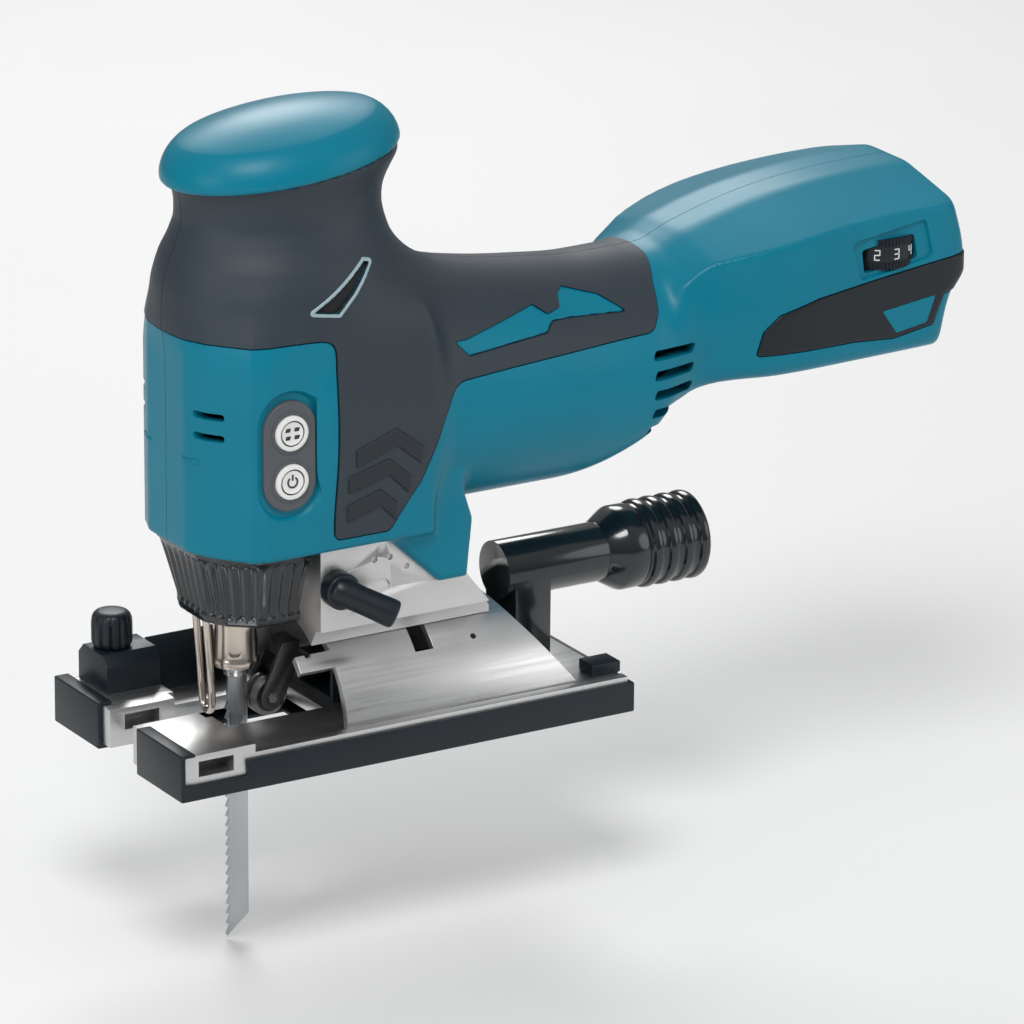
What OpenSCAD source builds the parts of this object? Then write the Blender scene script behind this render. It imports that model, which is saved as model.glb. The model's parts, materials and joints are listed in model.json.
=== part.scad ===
// Cordless barrel-grip jigsaw, built from separate pieces.
// Frame: origin at the centre of the sole's underside, +X to the rear, +Z up, millimetres.

/* [Base] */
// Length of the sole
base_l = 149; // [140:1:158]
// Width of the sole
base_w = 77; // [74:1:82]
// Thickness of the plastic sole cover
cover_t = 1.6; // [1.2:0.1:1.8]
// Height of the metal base plate's top face
plate_top = 9; // [8.6:0.1:9.4]
// Height of the bevel axis above the sole
tilt_z = 6; // [5:0.5:6]
// Outer radius of the bevel saddle
saddle_r = 32; // [31:0.5:32]

/* [Body] */
// Height of the lower edge of the head
head_z0 = 63; // [63:0.5:64]
// Half width of the head
head_hw = 31; // [30:0.5:33]
// Radius of the motor barrel
barrel_r = 31.5; // [30.5:0.5:33]
// Wall of the housing halves, with the rubber
wall = 3.2; // [2.8:0.1:3.4]
// Thickness of the rubber overmould
rubber_t = 1.2; // [0.8:0.1:1.6]
// Half width of the battery block
block_hw = 35; // [34:0.5:36]
// Tilt of the knob cap, rear edge up
cap_tilt = 6.5; // [4:0.5:8]

/* [Drive] */
// Height of the motor axis
motor_z = 94.5; // [94:0.5:95]
// Gear module
gear_m = 0.7; // [0.7:0.1:0.7]
// Teeth on the motor pinion
pinion_teeth = 12; // [12:1:12]
// Teeth on the crank gear
gear_teeth = 48; // [48:1:48]
// Stroke of the blade
stroke = 26; // [22:1:26]
// Distance of the blade rod's axis in front of the sole's centre
rod_x = -36; // [-37:0.5:-35]
// Radius of the blade rod
rod_r = 4.5; // [4:0.1:4.5]

/* [Blade] */
// Depth of the blade tip below the sole
blade_below = 60; // [40:1:75]
// Width of the blade
blade_w = 7; // [6:0.5:7]
// Thickness of the blade
blade_t = 1.2; // [0.9:0.1:1.5]

/* [Hidden] */
$fn = 64;
big = 400;
front_x = -base_l / 2;
hw = base_w / 2;
plate_z0 = cover_t;
saddle_in = saddle_r - 2.5;
throat_hw = 11.5;
throat_end = -14;
gear_z = motor_z + gear_m * (pinion_teeth + gear_teeth) / 2;
throw = stroke / 2;
run_gap = 0.05;
bush_r = 7.5;
yoke_z = gear_z - throw;
knob_x = -61;
knob_y = 28;
lever_x = -17;
lever_z = 50;
pivot_x = -25.5;
pivot_z = 45;
roller_x = rod_x + blade_w / 2 + 6.2;
roller_z = 12;
nozzle_z = 35.8;
button_x = -35;
button_z = [101, 86.7];
dial = [164, -25.3, 124];
sleeve_z = [23, 41];

teal = [0.07, 0.48, 0.56];
rubber = [0.24, 0.26, 0.29];
black = [0.1, 0.12, 0.14];
grey = [0.4, 0.42, 0.45];
silver = [0.78, 0.78, 0.8];
steel = [0.66, 0.66, 0.68];
brass = [0.75, 0.6, 0.35];
green = [0.1, 0.35, 0.2];
white = [0.92, 0.92, 0.9];

// ---- helpers ----
// Moves every edge of a closed outline inwards by t, for outlines drawn counter-clockwise.
function unit(v) = v / norm(v);
function left_normal(a, b) = let (d = unit(b - a)) [-d.y, d.x];
function inset(p, t) = let (n = len(p)) [
  for (i = [0:n - 1])
    let (a = left_normal(p[(i + n - 1) % n], p[i]), b = left_normal(p[i], p[(i + 1) % n]))
      p[i] + t * (a + b) / (1 + a * b)
];
function arc(r, a0, a1, n, c = [0, 0]) = [
  for (i = [0:n]) let (a = a0 + (a1 - a0) * i / n) c + r * [cos(a), sin(a)]
];
// Right half of a symmetric outline, from bottom to top, and its mirror image.
function both_sides(p) = concat(p, [for (i = [len(p) - 1:-1:0]) [-p[i].x, p[i].y]]);

// Extrudes an outline drawn in Y and Z along X.
module along_x(x0, x1) translate([x0, 0, 0]) rotate([90, 0, 90]) linear_extrude(x1 - x0) children();
// Extrudes an outline drawn in X and Z along Y.
module along_y(y0, y1) translate([0, y1, 0]) rotate([90, 0, 0]) linear_extrude(y1 - y0) children();
module box(lo, hi) translate(lo) cube(hi - lo);
module both_y() { children(); mirror([0, 1, 0]) children(); }
module rod_x_axis(x0, x1, r, y = 0, z = 0) {
  translate([x0, y, z]) rotate([0, 90, 0]) cylinder(h = x1 - x0, r = r);
}
module rod_y_axis(y0, y1, r, x, z) translate([x, y1, z]) rotate([90, 0, 0]) cylinder(h = y1 - y0, r = r);
module rod_z_axis(z0, z1, r, x, y = 0) translate([x, y, z0]) cylinder(h = z1 - z0, r = r);
module rod_between(a, b, r) {
  d = b - a;
  translate(a) rotate([0, acos(d.z / norm(d)), atan2(d.y, d.x)]) cylinder(h = norm(d), r = r);
}
module ring(x0, x1, r_out, r_in, z) {
  difference() {
    rod_x_axis(x0, x1, r_out, 0, z);
    rod_x_axis(x0 - 1, x1 + 1, r_in, 0, z);
  }
}

// ---- outer form of the body ----
head_half = [[-42, -head_hw], [10, -head_hw], [14, -27]];
head_plan = concat(
  [[-57.5, 12], [-57.5, -12], [-54.5, -18.7], [-46.5, -29.4]], head_half,
  [[14, 27], [10, head_hw], [-42, head_hw], [-46.5, 29.4], [-54.5, 18.7]]
);
neck_plan = [for (i = [0:47]) [-21 + 32.5 * cos(7.5 * i), 25 * sin(7.5 * i)]];
grip_section = concat(
  arc(barrel_r, 150, 390, 32, [0, motor_z]), [[22.5, 121], [14, 129.5], [-14, 129.5], [-22.5, 121]]
);
block_plan = [[90, -27], [100, -27], [122, -block_hw], [186.5, -block_hw], [191.5, -31],
  [191.5, 31], [186.5, block_hw], [122, block_hw], [100, 27], [90, 27]];
// Roof of the battery block, seen along its slope: a flat strip with a slanted side on each hand
roof_at = [140, 0, 137.15];
roof_slope = atan2(143 - 132, 181 - 104);
roof_section = both_sides([[block_hw + 1, -70], [block_hw + 1, -7], [9.5, 0.3]]);
foot_hw = 28;
side_profile = [
  [-57.5, head_z0], [-1, head_z0], [16, 47], [24.5, 47], [26, 62.5], [74, 63.5], [91, 69],
  [104, 87], [127, 90], [182, 91.5], [190.5, 117], [186.5, 137.5], [181, 143], [104, 132],
  [99, 127], [77, 125.5], [40, 132], [14, 142], [10, 160], [14, 190], [-54, 190],
  [-50, 158], [-57.5, 138]
];
// Everything under the plane that the knob cap sits on.
module under_cap(h) translate([-20.5, 0, h]) rotate([0, -cap_tilt, 0]) box([-90, -60, -150], [240, 60, 0]);

module body_form(t) {
  intersection() {
    along_y(-60, 60) polygon(inset(side_profile, t));
    union() {
      intersection() {
        union() {
          translate([0, 0, head_z0 - 5]) linear_extrude(143 - head_z0 - t) polygon(inset(head_plan, t));
          translate([0, 0, 128]) linear_extrude(50) polygon(inset(neck_plan, t));
        }
        under_cap(171 - t);
      }
      along_x(-10, 104 - t) polygon(inset(grip_section, t));
      intersection() {
        translate([0, 0, 80]) linear_extrude(80) polygon(inset(block_plan, t));
        translate(roof_at) rotate([0, -roof_slope, 0]) along_x(-60, 70) polygon(inset(roof_section, t));
      }
      box([-5, -foot_hw + t, 40], [30, foot_hw - t, 75]);
    }
  }
}

// Side view of the area that the rubber covers.
rubber_zone = [
  [-60, 126], [-21, 126], [-21, 66.3], [-1.5, 66.3], [6.5, 79.5], [12, 91], [17, 104], [23, 107.2],
  [85, 109.8], [89, 113], [91.5, 122], [96, 129], [96, 140], [60, 190], [-60, 190]
];
inset_zone = [
  [19.7, 118], [24.3, 113.2], [51.5, 115.1], [54.4, 117.6], [59.7, 117.6], [80.3, 116.4], [72.6, 121.8],
  [62, 124.8], [59.6, 123.8], [58.2, 120.8], [53.6, 119.8], [49.7, 122.5], [24.3, 117.9]
];
module rubber_skin() {
  difference() {
    intersection() {
      body_form(0);
      along_y(-60, 60) polygon(rubber_zone);
    }
    body_form(rubber_t);
    along_y(-60, 60) polygon(inset_zone);
    screw_wells();
    rod_top_room();
  }
}

screw_at = [[-50.5, 72], [-50.5, 128], [56, 124], [90, 82], [115, 124], [180, 133]];
screw_hw = [17, 17, 12, 15, 24, 24];
vent_z = [for (i = [0:4]) 78.9 + 5.85 * i];
// Wells for the screw heads in the right side, and the room over the blade rod
module screw_wells() {
  for (i = [0:len(screw_at) - 1]) rod_y_axis(screw_hw[i], 60, 3.1, screw_at[i].x, screw_at[i].y);
}
module rod_top_room() rod_z_axis(160, 190, rod_r + 1.5, rod_x);

module stadium(l, w, grow = 0) {
  r = w / 2 + grow;
  dz = (l - w) / 2;
  union() {
    translate([0, dz]) circle(r = r);
    translate([0, -dz]) circle(r = r);
    translate([-r, -dz]) square([2 * r, 2 * dz]);
  }
}
module button_plate(y0, y1, grow) {
  along_y(y0, y1) translate([button_x, (button_z[0] + button_z[1]) / 2]) stadium(33, 17, grow);
}
side_panel_outline = [[121, 99], [182, 99], [186.5, 111], [187.5, 118.8], [146, 115.2], [126, 110]];

module housing() {
  difference() {
    union() {
      difference() {
        body_form(0);
        body_form(wall);
      }
      intersection() {
        body_form(wall - 0.5);
        for (s = screw_at) rod_y_axis(-60, 60, 3.2, s.x, s.y);
      }
      battery_roof();
      intersection() {
        body_form(wall - 0.5);
        box([72, -40, motor_z - 12], [78, 40, motor_z + 12]);
      }
    }
    rubber_skin();
    rod_x_axis(70, 80, 8.5, 0, motor_z);
    bracket_screw_holes();
    // Blade opening and the knob's open top
    rod_z_axis(head_z0 - 5, head_z0 + 8, 10, rod_x);
    for (i = [0:len(screw_at) - 1]) rod_y_axis(-screw_hw[i], 60, 1.7, screw_at[i].x, screw_at[i].y);
    screw_wells();
    // Cooling slots at the rear of the motor and two short ones on each front corner
    both_y() for (z = vent_z) box([84.5, 15, z], [97, 40, z + 3]);
    both_y() for (z = [98.3, 104.5]) box([-62, 14, z], [-49, 23, z + 2.1]);
    // Recess and holes for the buttons
    button_plate(-40, -29.4, 0.1);
    for (z = button_z) rod_y_axis(-32, -20, 6.8, button_x, z);
    // Window for the speed dial
    box([154.5, -50, 118.8], [173.5, -20, 129.2]);
    both_y() along_y(block_hw - 1, 50) polygon(side_panel_outline);
    battery_bay();
    rod_top_room();
  }
}
bay_z = 100;
module battery_bay() box([133, -29, 80], [210, 29, bay_z]);
module battery_roof() {
  intersection() {
    body_form(0.5);
    union() {
      box([131, -block_hw, bay_z], [210, block_hw, bay_z + 2.5]);
      box([131, -block_hw, 80], [133.5, block_hw, bay_z + 2.5]);
      both_y() box([131, 29, 80], [210, block_hw, bay_z + 2.5]);
    }
  }
}
module left_housing() color(teal) intersection() { housing(); box([-big, -big, -big], [big, 0, big]); }
module right_housing() color(teal) intersection() { housing(); box([-big, 0, -big], [big, big, big]); }
module left_overmould() color(rubber) intersection() {
  rubber_skin();
  box([-big, -big, -big], [big, 0, big]);
}
module right_overmould() color(rubber) intersection() {
  rubber_skin();
  box([-big, 0, -big], [big, big, big]);
}

cap_dome = 70;
module knob_cap() color(teal) {
  translate([-20.5, 0, 171]) rotate([0, -cap_tilt, 0]) intersection() {
    linear_extrude(20) polygon([for (i = [0:47]) [36 * cos(7.5 * i), 27 * sin(7.5 * i)]]);
    translate([0, 0, 14.5 - cap_dome]) sphere(r = cap_dome);
  }
}

// ---- buttons, dial and electronics ----
module button_panel() color(grey) difference() {
  button_plate(-32, -29.4, 0);
  for (z = button_z) rod_y_axis(-40, -20, 5.4, button_x, z);
}
module button(z) {
  rod_y_axis(-32.8, -26.2, 5.2, button_x, z);
  rod_y_axis(-28.2, -27, 6.3, button_x, z);
}
module power_button() color(white) button(button_z[1]);
module mode_button() color(white) button(button_z[0]);
module switch_board() color(green) box([-45, -25, 78], [-24, -23.4, 110]);
module left_side_panel() color(grey) along_y(-block_hw - 0.8, -block_hw + 1) polygon(side_panel_outline);
module right_side_panel() color(grey) along_y(block_hw - 1, block_hw + 0.8) polygon(side_panel_outline);
module side_badges() color(teal) both_y()
  along_y(block_hw + 0.8, block_hw + 1.3) polygon([[159, 107], [164.5, 100], [176, 101.5], [178.5, 109.3]]);
module housing_screws() color(steel) for (i = [0:len(screw_at) - 1]) {
  rod_y_axis(-screw_hw[i] + 2, screw_hw[i], 1.6, screw_at[i].x, screw_at[i].y);
  rod_y_axis(screw_hw[i], screw_hw[i] + 2.4, 2.9, screw_at[i].x, screw_at[i].y);
}
module speed_dial() color(black) translate(dial) difference() {
  translate([0, 0, -4.6]) cylinder(h = 9.2, r = 11);
  translate([0, 0, -10]) cylinder(h = 20, r = 2);
}
module dial_board() color(green) {
  box([156, -31, 114.2], [173, -16, 115.8]);
  translate([dial.x, dial.y, 115.8]) cylinder(h = 13, r = 2 - run_gap);
}
module controller_board() color(green) {
  box([108, -24, 108], [156, 22, 110]);
  for (x = [112, 124, 136]) box([x, 2, 110], [x + 8, 14, 118]);
}
module terminal_block() color(black) {
  box([134, -15, bay_z - 6], [146, 15, bay_z]);
  both_y() box([146, 8, bay_z - 5], [162, 9, bay_z - 1]);
}
rail_w = 4;
rail_x = 181;
module battery_rails() color(steel) both_y() {
  box([140, 29 - rail_w, 93], [rail_x, 29, 94.5]);
  box([140, 28, 94.5], [rail_x, 29, bay_z]);
}

// ---- motor ----
module motor_stator() color(steel) union() {
  ring(24, 64, 26, 14, motor_z);
  ring(20, 24, 20, 15, motor_z);
  ring(64, 68, 20, 15, motor_z);
}
module front_bearing() color(steel) ring(-4, 2, 8.5, 4 + run_gap, motor_z);
module rear_bearing() color(steel) ring(72, 78, 8.5, 4 + run_gap, motor_z);
module motor_shaft() color(steel) {
  rod_x_axis(-20.5, -12, 2.5, 0, motor_z);
  rod_x_axis(-12, 79, 4, 0, motor_z);
}
module rotor_core() color(steel) ring(23, 65, 13.5, 4, motor_z);
blade_count = 11;
module cooling_fan() color(black) {
  ring(6, 8, 22, 4, motor_z);
  ring(8, 16, 7, 4, motor_z);
  for (i = [0:blade_count - 1]) translate([0, 0, motor_z]) rotate([360 / blade_count * i, 0, 0])
    box([8, 6.9, -0.7], [16, 21.5, 0.7]);
}
// One flank point: radius r and half the tooth's angle there.
function inv(a) = tan(a) * 180 / PI - a;
function half_tooth(teeth, r) = let (rp = gear_m * teeth / 2, rb = rp * cos(20))
  90 / teeth - 0.15 / (2 * rp) * 180 / PI / 2 + inv(20) - (r > rb ? inv(acos(rb / r)) : 0);
function gear_outline(teeth) = let (
  rp = gear_m * teeth / 2,
  r_tip = rp + 0.6 * gear_m,
  r_root = rp - gear_m,
  rise = [for (k = [0:3]) r_root + (r_tip - r_root) * k / 3]
) [for (i = [0:teeth - 1]) for (k = [0:7])
    let (r = rise[k < 4 ? k : 7 - k], h = half_tooth(teeth, r), a = 360 / teeth * i + (k < 4 ? -h : h))
      r * [cos(a), sin(a)]];
module gear_blank(x0, x1, teeth, z, turn, bore) {
  translate([0, 0, z]) difference() {
    along_x(x0, x1) rotate(turn) polygon(gear_outline(teeth));
    rod_x_axis(x0 - 1, x1 + 1, bore);
  }
}
module drive_pinion() color(steel) gear_blank(-20.5, -13.5, pinion_teeth, motor_z, 0, 2.5);
module drive_gear() color(steel) difference() {
  gear_blank(-20, -14, gear_teeth, gear_z, 180 / gear_teeth, 4);
  translate([0, 0, gear_z - throw]) rod_x_axis(-30, 0, 3);
}
module crank_pin() color(steel) rod_x_axis(-25.7, -14, 3, 0, yoke_z);
module gear_shaft() color(steel) rod_x_axis(-21, 2, 4, 0, gear_z);
module gear_bearing() color(steel) ring(-4, 2, 8, 4 + run_gap, gear_z);

// ---- gear case and reciprocating parts ----
case_hw = 21.5;
module gear_case() color(silver) difference() {
  union() {
    box([-47, -case_hw, 68], [2, case_hw, 80]);
    box([-5, -case_hw, 68], [2, case_hw, 132]);
    box([-5, -9, 132], [2, 9, 142]);
    box([-36, -7, 136.5], [-4, 7, 142]);
    rod_z_axis(136.5, 142, 8, rod_x);
  }
  rod_z_axis(60, 90, bush_r, rod_x);
  rod_z_axis(130, 150, bush_r - 1, rod_x);
  rod_x_axis(-4, 10, 8.5, 0, motor_z);
  rod_x_axis(-10, 10, 6.5, 0, motor_z);
  rod_x_axis(-4, 10, 8, 0, gear_z);
  bracket_screw_holes();
  rod_x_axis(-10, 10, 6.5, 0, gear_z);
}
module bush(z0, z1, r) {
  difference() {
    rod_z_axis(z0, z1, r, rod_x);
    rod_z_axis(z0 - 1, z1 + 1, rod_r + run_gap, rod_x);
  }
}
module lower_bush() color(brass) bush(68, 80, bush_r);
module upper_bush() color(brass) bush(136.5, 142, bush_r - 1);
weight_x = [-11, -7];
module counterweight() color(steel) {
  box([weight_x[0], -18, 131], [weight_x[1], 18, 136]);
  both_y() box([weight_x[0], 9, 108], [weight_x[1], 18, 131]);
}
module blade_rod() color(steel) rod_z_axis(sleeve_z[0] + 9, 142, rod_r, rod_x);
module scotch_yoke() color(steel) difference() {
  union() {
    box([-32, -18.5, yoke_z - 5.8], [-26, 18.5, yoke_z + 5.8]);
    rod_z_axis(yoke_z - 5.8, yoke_z + 5.8, 7, rod_x);
  }
  rod_z_axis(50, 200, rod_r, rod_x);
  box([-30.5, -16.4, yoke_z - 3.3], [-20, 16.4, yoke_z + 3.3]);
}
module clamp_sleeve() color(silver) difference() {
  rod_z_axis(sleeve_z[0], sleeve_z[1], 6.5, rod_x);
  rod_z_axis(sleeve_z[0] + 9, sleeve_z[1] + 1, rod_r, rod_x);
  rod_z_axis(sleeve_z[0] + 3, sleeve_z[0] + 9.1, 5, rod_x);
  box([rod_x - 4.2, -0.8, 10], [rod_x + 4.2, 0.8, sleeve_z[0] + 4]);
}
module clamp_spring() color(steel) difference() {
  rod_z_axis(sleeve_z[0] + 6.4, sleeve_z[0] + 8.8, 4.8, rod_x);
  rod_z_axis(10, 60, 3.6, rod_x);
}
tooth_pitch = 3;
module blade() color(white) {
  x0 = rod_x - blade_w / 2;
  x1 = rod_x + blade_w / 2;
  top = sleeve_z[0] + 2;
  teeth = floor((blade_below + 12) / tooth_pitch);
  along_y(-blade_t / 2, blade_t / 2) polygon(concat(
    [[rod_x - 2.5, top], [x0 + 0.6, 14]],
    [for (i = [0:teeth - 1]) for (p = [[1, 0], [0, -tooth_pitch * 0.75]])
      [x0 + p.x, 12 - tooth_pitch * i + p.y]],
    [[x0, -blade_below], [x1, -blade_below + 6], [x1, 18], [rod_x + 2.5, top]]
  ));
  box([rod_x - 2.4, -blade_t / 2, top - 0.1], [rod_x + 2.4, blade_t / 2, top + 4.2]);
}

// ---- nose ----
module led_light() color(white) rod_z_axis(60, head_z0, 2.2, -45, 14);
nose_top = [
  [-22.5, -28], [-22.5, 28], [-42, 28], [-52, 19], [-55.5, 12], [-55.5, -12], [-52, -19], [-42, -28]
];
nose_low = [
  [-22.5, -20], [-22.5, 20], [-39, 20], [-46.5, 14], [-50.2, 7], [-50.2, -7], [-46.5, -14], [-39, -20]
];
module nose_loft(t) hull() {
  translate([0, 0, head_z0 - 0.2]) linear_extrude(0.1) polygon(inset(nose_top, t));
  translate([0, 0, 40]) linear_extrude(0.1) polygon(inset(nose_low, t));
}
module nose_shroud() color(black) difference() {
  nose_loft(0);
  translate([0, 0, 0.3]) nose_loft(1.6);
  translate([0, 0, -0.3]) nose_loft(1.6);
  box([-26, -40, 30], [-20, 40, 70]);
}
module chip_cover() color(black) box([-44.9, -6.3, 42], [-43.6, 6.3, 61]);
wire_r = 1.1;
module wire_guard() color(steel) {
  a = [-48.6, 3, 61];
  b = [-45.2, 3, 13.5];
  both_y() rod_between(b, a, wire_r);
  translate([b.x, 0, b.z]) rotate([0, 0, 90]) rotate([90, 0, 0]) rotate([0, 0, 180])
    rotate_extrude(angle = 180) translate([3, 0]) circle(r = wire_r);
}

// ---- bevel bracket under the body ----
bracket_section = both_sides([[19.5, 25], [19.5, 32.2], [22.5, 37.2], [25, 37.2], [25, head_z0]]);
module bevel_bracket() color(silver) difference() {
  union() {
    intersection() {
      along_x(-22, 40) polygon(bracket_section);
      along_y(-30, 30)
        polygon([[-22, 20], [40, 20], [36, 34], [26, 46.8], [16, 46.8], [-1.2, head_z0], [-22, head_z0]]);
    }
    for (y = [0.2, 6.4]) box([-28.4, y, 41.5], [-21, y + 2, 48.5]);
  }
  rod_x_axis(-60, 60, saddle_r + 0.3, 0, tilt_z);
  rod_y_axis(-30, -14, 3 + run_gap, lever_x, lever_z);
  rod_z_axis(30, 50, 2.5, 12);
  rod_y_axis(-5, 14, 1.5, pivot_x, pivot_z);
  bracket_screw_holes();
}
bracket_screw_at = [[-8, 14], [-8, -14]];
module bracket_screw_holes() for (p = bracket_screw_at) rod_z_axis(49, 76, 2, p.x, p.y);
module bracket_screws() color(steel) for (p = bracket_screw_at) rod_z_axis(49, 76, 2, p.x, p.y);
module roller_pivot_pin() color(steel) rod_y_axis(0.2, 8.4, 1.5, pivot_x, pivot_z);
module roller_bracket() color(steel) difference() {
  union() {
    both_y() along_y(3.3, 4.7) polygon(concat(
      arc(3.6, 150, 320, 12, [roller_x, roller_z]), [[-17.5, 22], [-17.5, 28], [-23, 28]]
    ));
    box([-23, -4.7, 23], [-17.5, 4.7, 28]);
    box([-28.2, 2.6, 24], [-22.8, 6, 45]);
    rod_y_axis(2.6, 6, 2.7, pivot_x, pivot_z);
  }
  rod_y_axis(0, 10, 1.5 + run_gap, pivot_x, pivot_z);
  rod_y_axis(-6, 6, 1.5, roller_x, roller_z);
}
module roller_axle() color(steel) rod_y_axis(-4.9, 4.9, 1.5, roller_x, roller_z);
module guide_roller() color(steel) translate([roller_x, 0, roller_z]) rotate([90, 0, 0])
  rotate_extrude() polygon([
    [1.5 + run_gap, -3], [4.6, -3], [6, -2], [6, -0.9], [5.2, -0.5], [5.2, 0.5], [6, 0.9], [6, 2], [4.6, 3],
    [1.5 + run_gap, 3]
  ]);
module orbital_lever() color(black) {
  rod_y_axis(-25.3, -16, 3, lever_x, lever_z);
  rod_y_axis(-30, -25.3, 5.4, lever_x, lever_z);
  rod_between([lever_x, -29, lever_z], [-4, -37, 43], 4.2);
}
module bevel_bolt() color(steel) {
  rod_z_axis(26, 47.8, 2.5, 12);
  rod_z_axis(24.5, 29, 5, 12);
}

// ---- base ----
fence_x = [-68.2, -57];
fence_z = [6.4, 11];
prong_top = plate_top + 4;
block_x = -50;
ear_a = [131.5, 141];
module arch(r0, r1, x0, x1) {
  intersection() {
    difference() {
      rod_x_axis(x0, x1, r1, 0, tilt_z);
      rod_x_axis(x0 - 1, x1 + 1, r0, 0, tilt_z);
    }
    box([x0, -60, plate_z0 + 3], [x1, 60, 60]);
  }
}
module base_plate() color(silver) difference() {
  union() {
    box([-73, -hw + 1.5, plate_z0], [block_x, hw - 1.5, prong_top]);
    box([block_x, -hw + 4, 5], [73, hw - 4, plate_top]);
    both_y() box([block_x, hw - 5, plate_z0], [73, hw - 1.5, plate_top + 1.5]);
    intersection() {
      arch(saddle_in, saddle_r, -17, 60);
      along_y(-50, 50) polygon([[-17, 4], [59, 4], [59, 10], [36, 38.5], [-17, 38.5]]);
    }
    intersection() {
      arch(saddle_in, saddle_r, -28.4, -16);
      translate([0, 0, tilt_z]) along_x(-40, 0)
        polygon([[0, 0], 60 * [cos(ear_a[0]), sin(ear_a[0])], 60 * [cos(ear_a[1]), sin(ear_a[1])]]);
    }
  }
  // Fence bar slot across both prongs
  box([fence_x[0], -60, fence_z[0]], [fence_x[1], 60, fence_z[1]]);
  // Blade throat
  box([-90, -7, -5], [throat_end, 7, 20]);
  box([-52, -throat_hw, -5], [throat_end, throat_hw, 20]);
  // Arc slot for the bevel bolt
  box([9, -25, 24], [15, 25, 50]);
  // Clamp screw hole
  rod_z_axis(5, 20, 3.2, knob_x, knob_y);
}
module base_cover() color(black) difference() {
  union() {
    box([front_x, -hw, 0], [-front_x, hw, plate_z0]);
    both_y() box([-53, hw - 1.5, 0], [-front_x, hw, plate_top]);
    box([front_x, -hw, 0], [-73, hw, prong_top + 1]);
    box([-73, -hw, prong_top], [-69.8, hw, prong_top + 1]);
    both_y() box([-73, hw - 1.5, 0], [-53, hw, 4.2]);
    box([73, -hw, 0], [-front_x, hw, plate_top]);
    both_y() box([66, 21, plate_top], [-front_x + 1, 29, plate_top + 3.5]);
  }
  box([-90, -throat_hw, -5], [throat_end, throat_hw, 20]);
}
module fence_clamp_block() color(black) difference() {
  union() {
    along_x(-67.5, block_x)
      polygon([[19, prong_top], [36.5, prong_top], [36.5, 21], [33.5, 24], [22, 24], [19, 21]]);
    along_x(block_x, -24) polygon([
      [24, plate_top], [32, plate_top], [32, 10.6], [36.5, 10.6], [36.5, 16], [28.5, 24.5], [24, 19.8]
    ]);
  }
  rod_z_axis(5, 30, 3.2, knob_x, knob_y);
}
module fence_clamp_screw() color(black) {
  rod_z_axis(fence_z[1] + 0.3, 25, 3, knob_x, knob_y);
  difference() {
    rod_z_axis(24.4, 35, 6, knob_x, knob_y);
    for (i = [0:11]) translate([knob_x, knob_y, 0]) rotate(30 * i) rod_z_axis(20, 40, 0.7, 6.1, 0);
  }
}
module dust_channel() color(black) difference() {
  box([-10, -10, plate_top], [52, 10, 20]);
  box([-11, -8.7, plate_top + 1.3], [53, 8.7, 18.7]);
}
module dust_nozzle() color(black) difference() {
  union() {
    rod_x_axis(50, 92, 8.8, 0, nozzle_z);
    box([44, -8.5, 10.5], [52.2, 8.5, 18.5]);
    box([52.2, -8.5, 10.5], [64, 8.5, nozzle_z]);
  }
  rod_x_axis(52, 93, 6.8, 0, nozzle_z);
  box([43, -7.3, 11.7], [54, 7.3, 17.3]);
  box([54, -6.6, 11.7], [62.5, 6.6, nozzle_z]);
}
cuff_rib_x = [95, 100.6, 106.2, 111.8];
module hose_cuff() color(black) difference() {
  union() {
    translate([84, 0, nozzle_z]) rotate([0, 90, 0]) cylinder(h = 5, r1 = 9.4, r2 = 12.2);
    rod_x_axis(89, 117, 12.2, 0, nozzle_z);
    for (x = cuff_rib_x) rod_x_axis(x, x + 4, 13.2, 0, nozzle_z);
  }
  rod_x_axis(80, 93, 8.8, 0, nozzle_z);
  rod_x_axis(92, 130, 11, 0, nozzle_z);
}

left_housing();
right_housing();
left_overmould();
right_overmould();
knob_cap();
button_panel();
power_button();
mode_button();
switch_board();
left_side_panel();
right_side_panel();
side_badges();
housing_screws();
speed_dial();
dial_board();
controller_board();
terminal_block();
battery_rails();
motor_stator();
front_bearing();
rear_bearing();
motor_shaft();
rotor_core();
cooling_fan();
drive_pinion();
drive_gear();
gear_shaft();
crank_pin();
gear_bearing();
gear_case();
upper_bush();
lower_bush();
counterweight();
blade_rod();
scotch_yoke();
clamp_sleeve();
clamp_spring();
blade();
led_light();
nose_shroud();
chip_cover();
wire_guard();
bevel_bracket();
bracket_screws();
roller_pivot_pin();
roller_bracket();
roller_axle();
guide_roller();
orbital_lever();
bevel_bolt();
base_plate();
base_cover();
fence_clamp_block();
fence_clamp_screw();
dust_channel();
dust_nozzle();
hose_cuff();
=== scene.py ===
"""Looks of the cordless jigsaw: moulded body, metals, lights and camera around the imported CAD."""
import math
import json
from contextlib import contextmanager

import bmesh
import bpy
import numpy as np
import openvdb
from mathutils import Matrix, Vector


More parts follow.
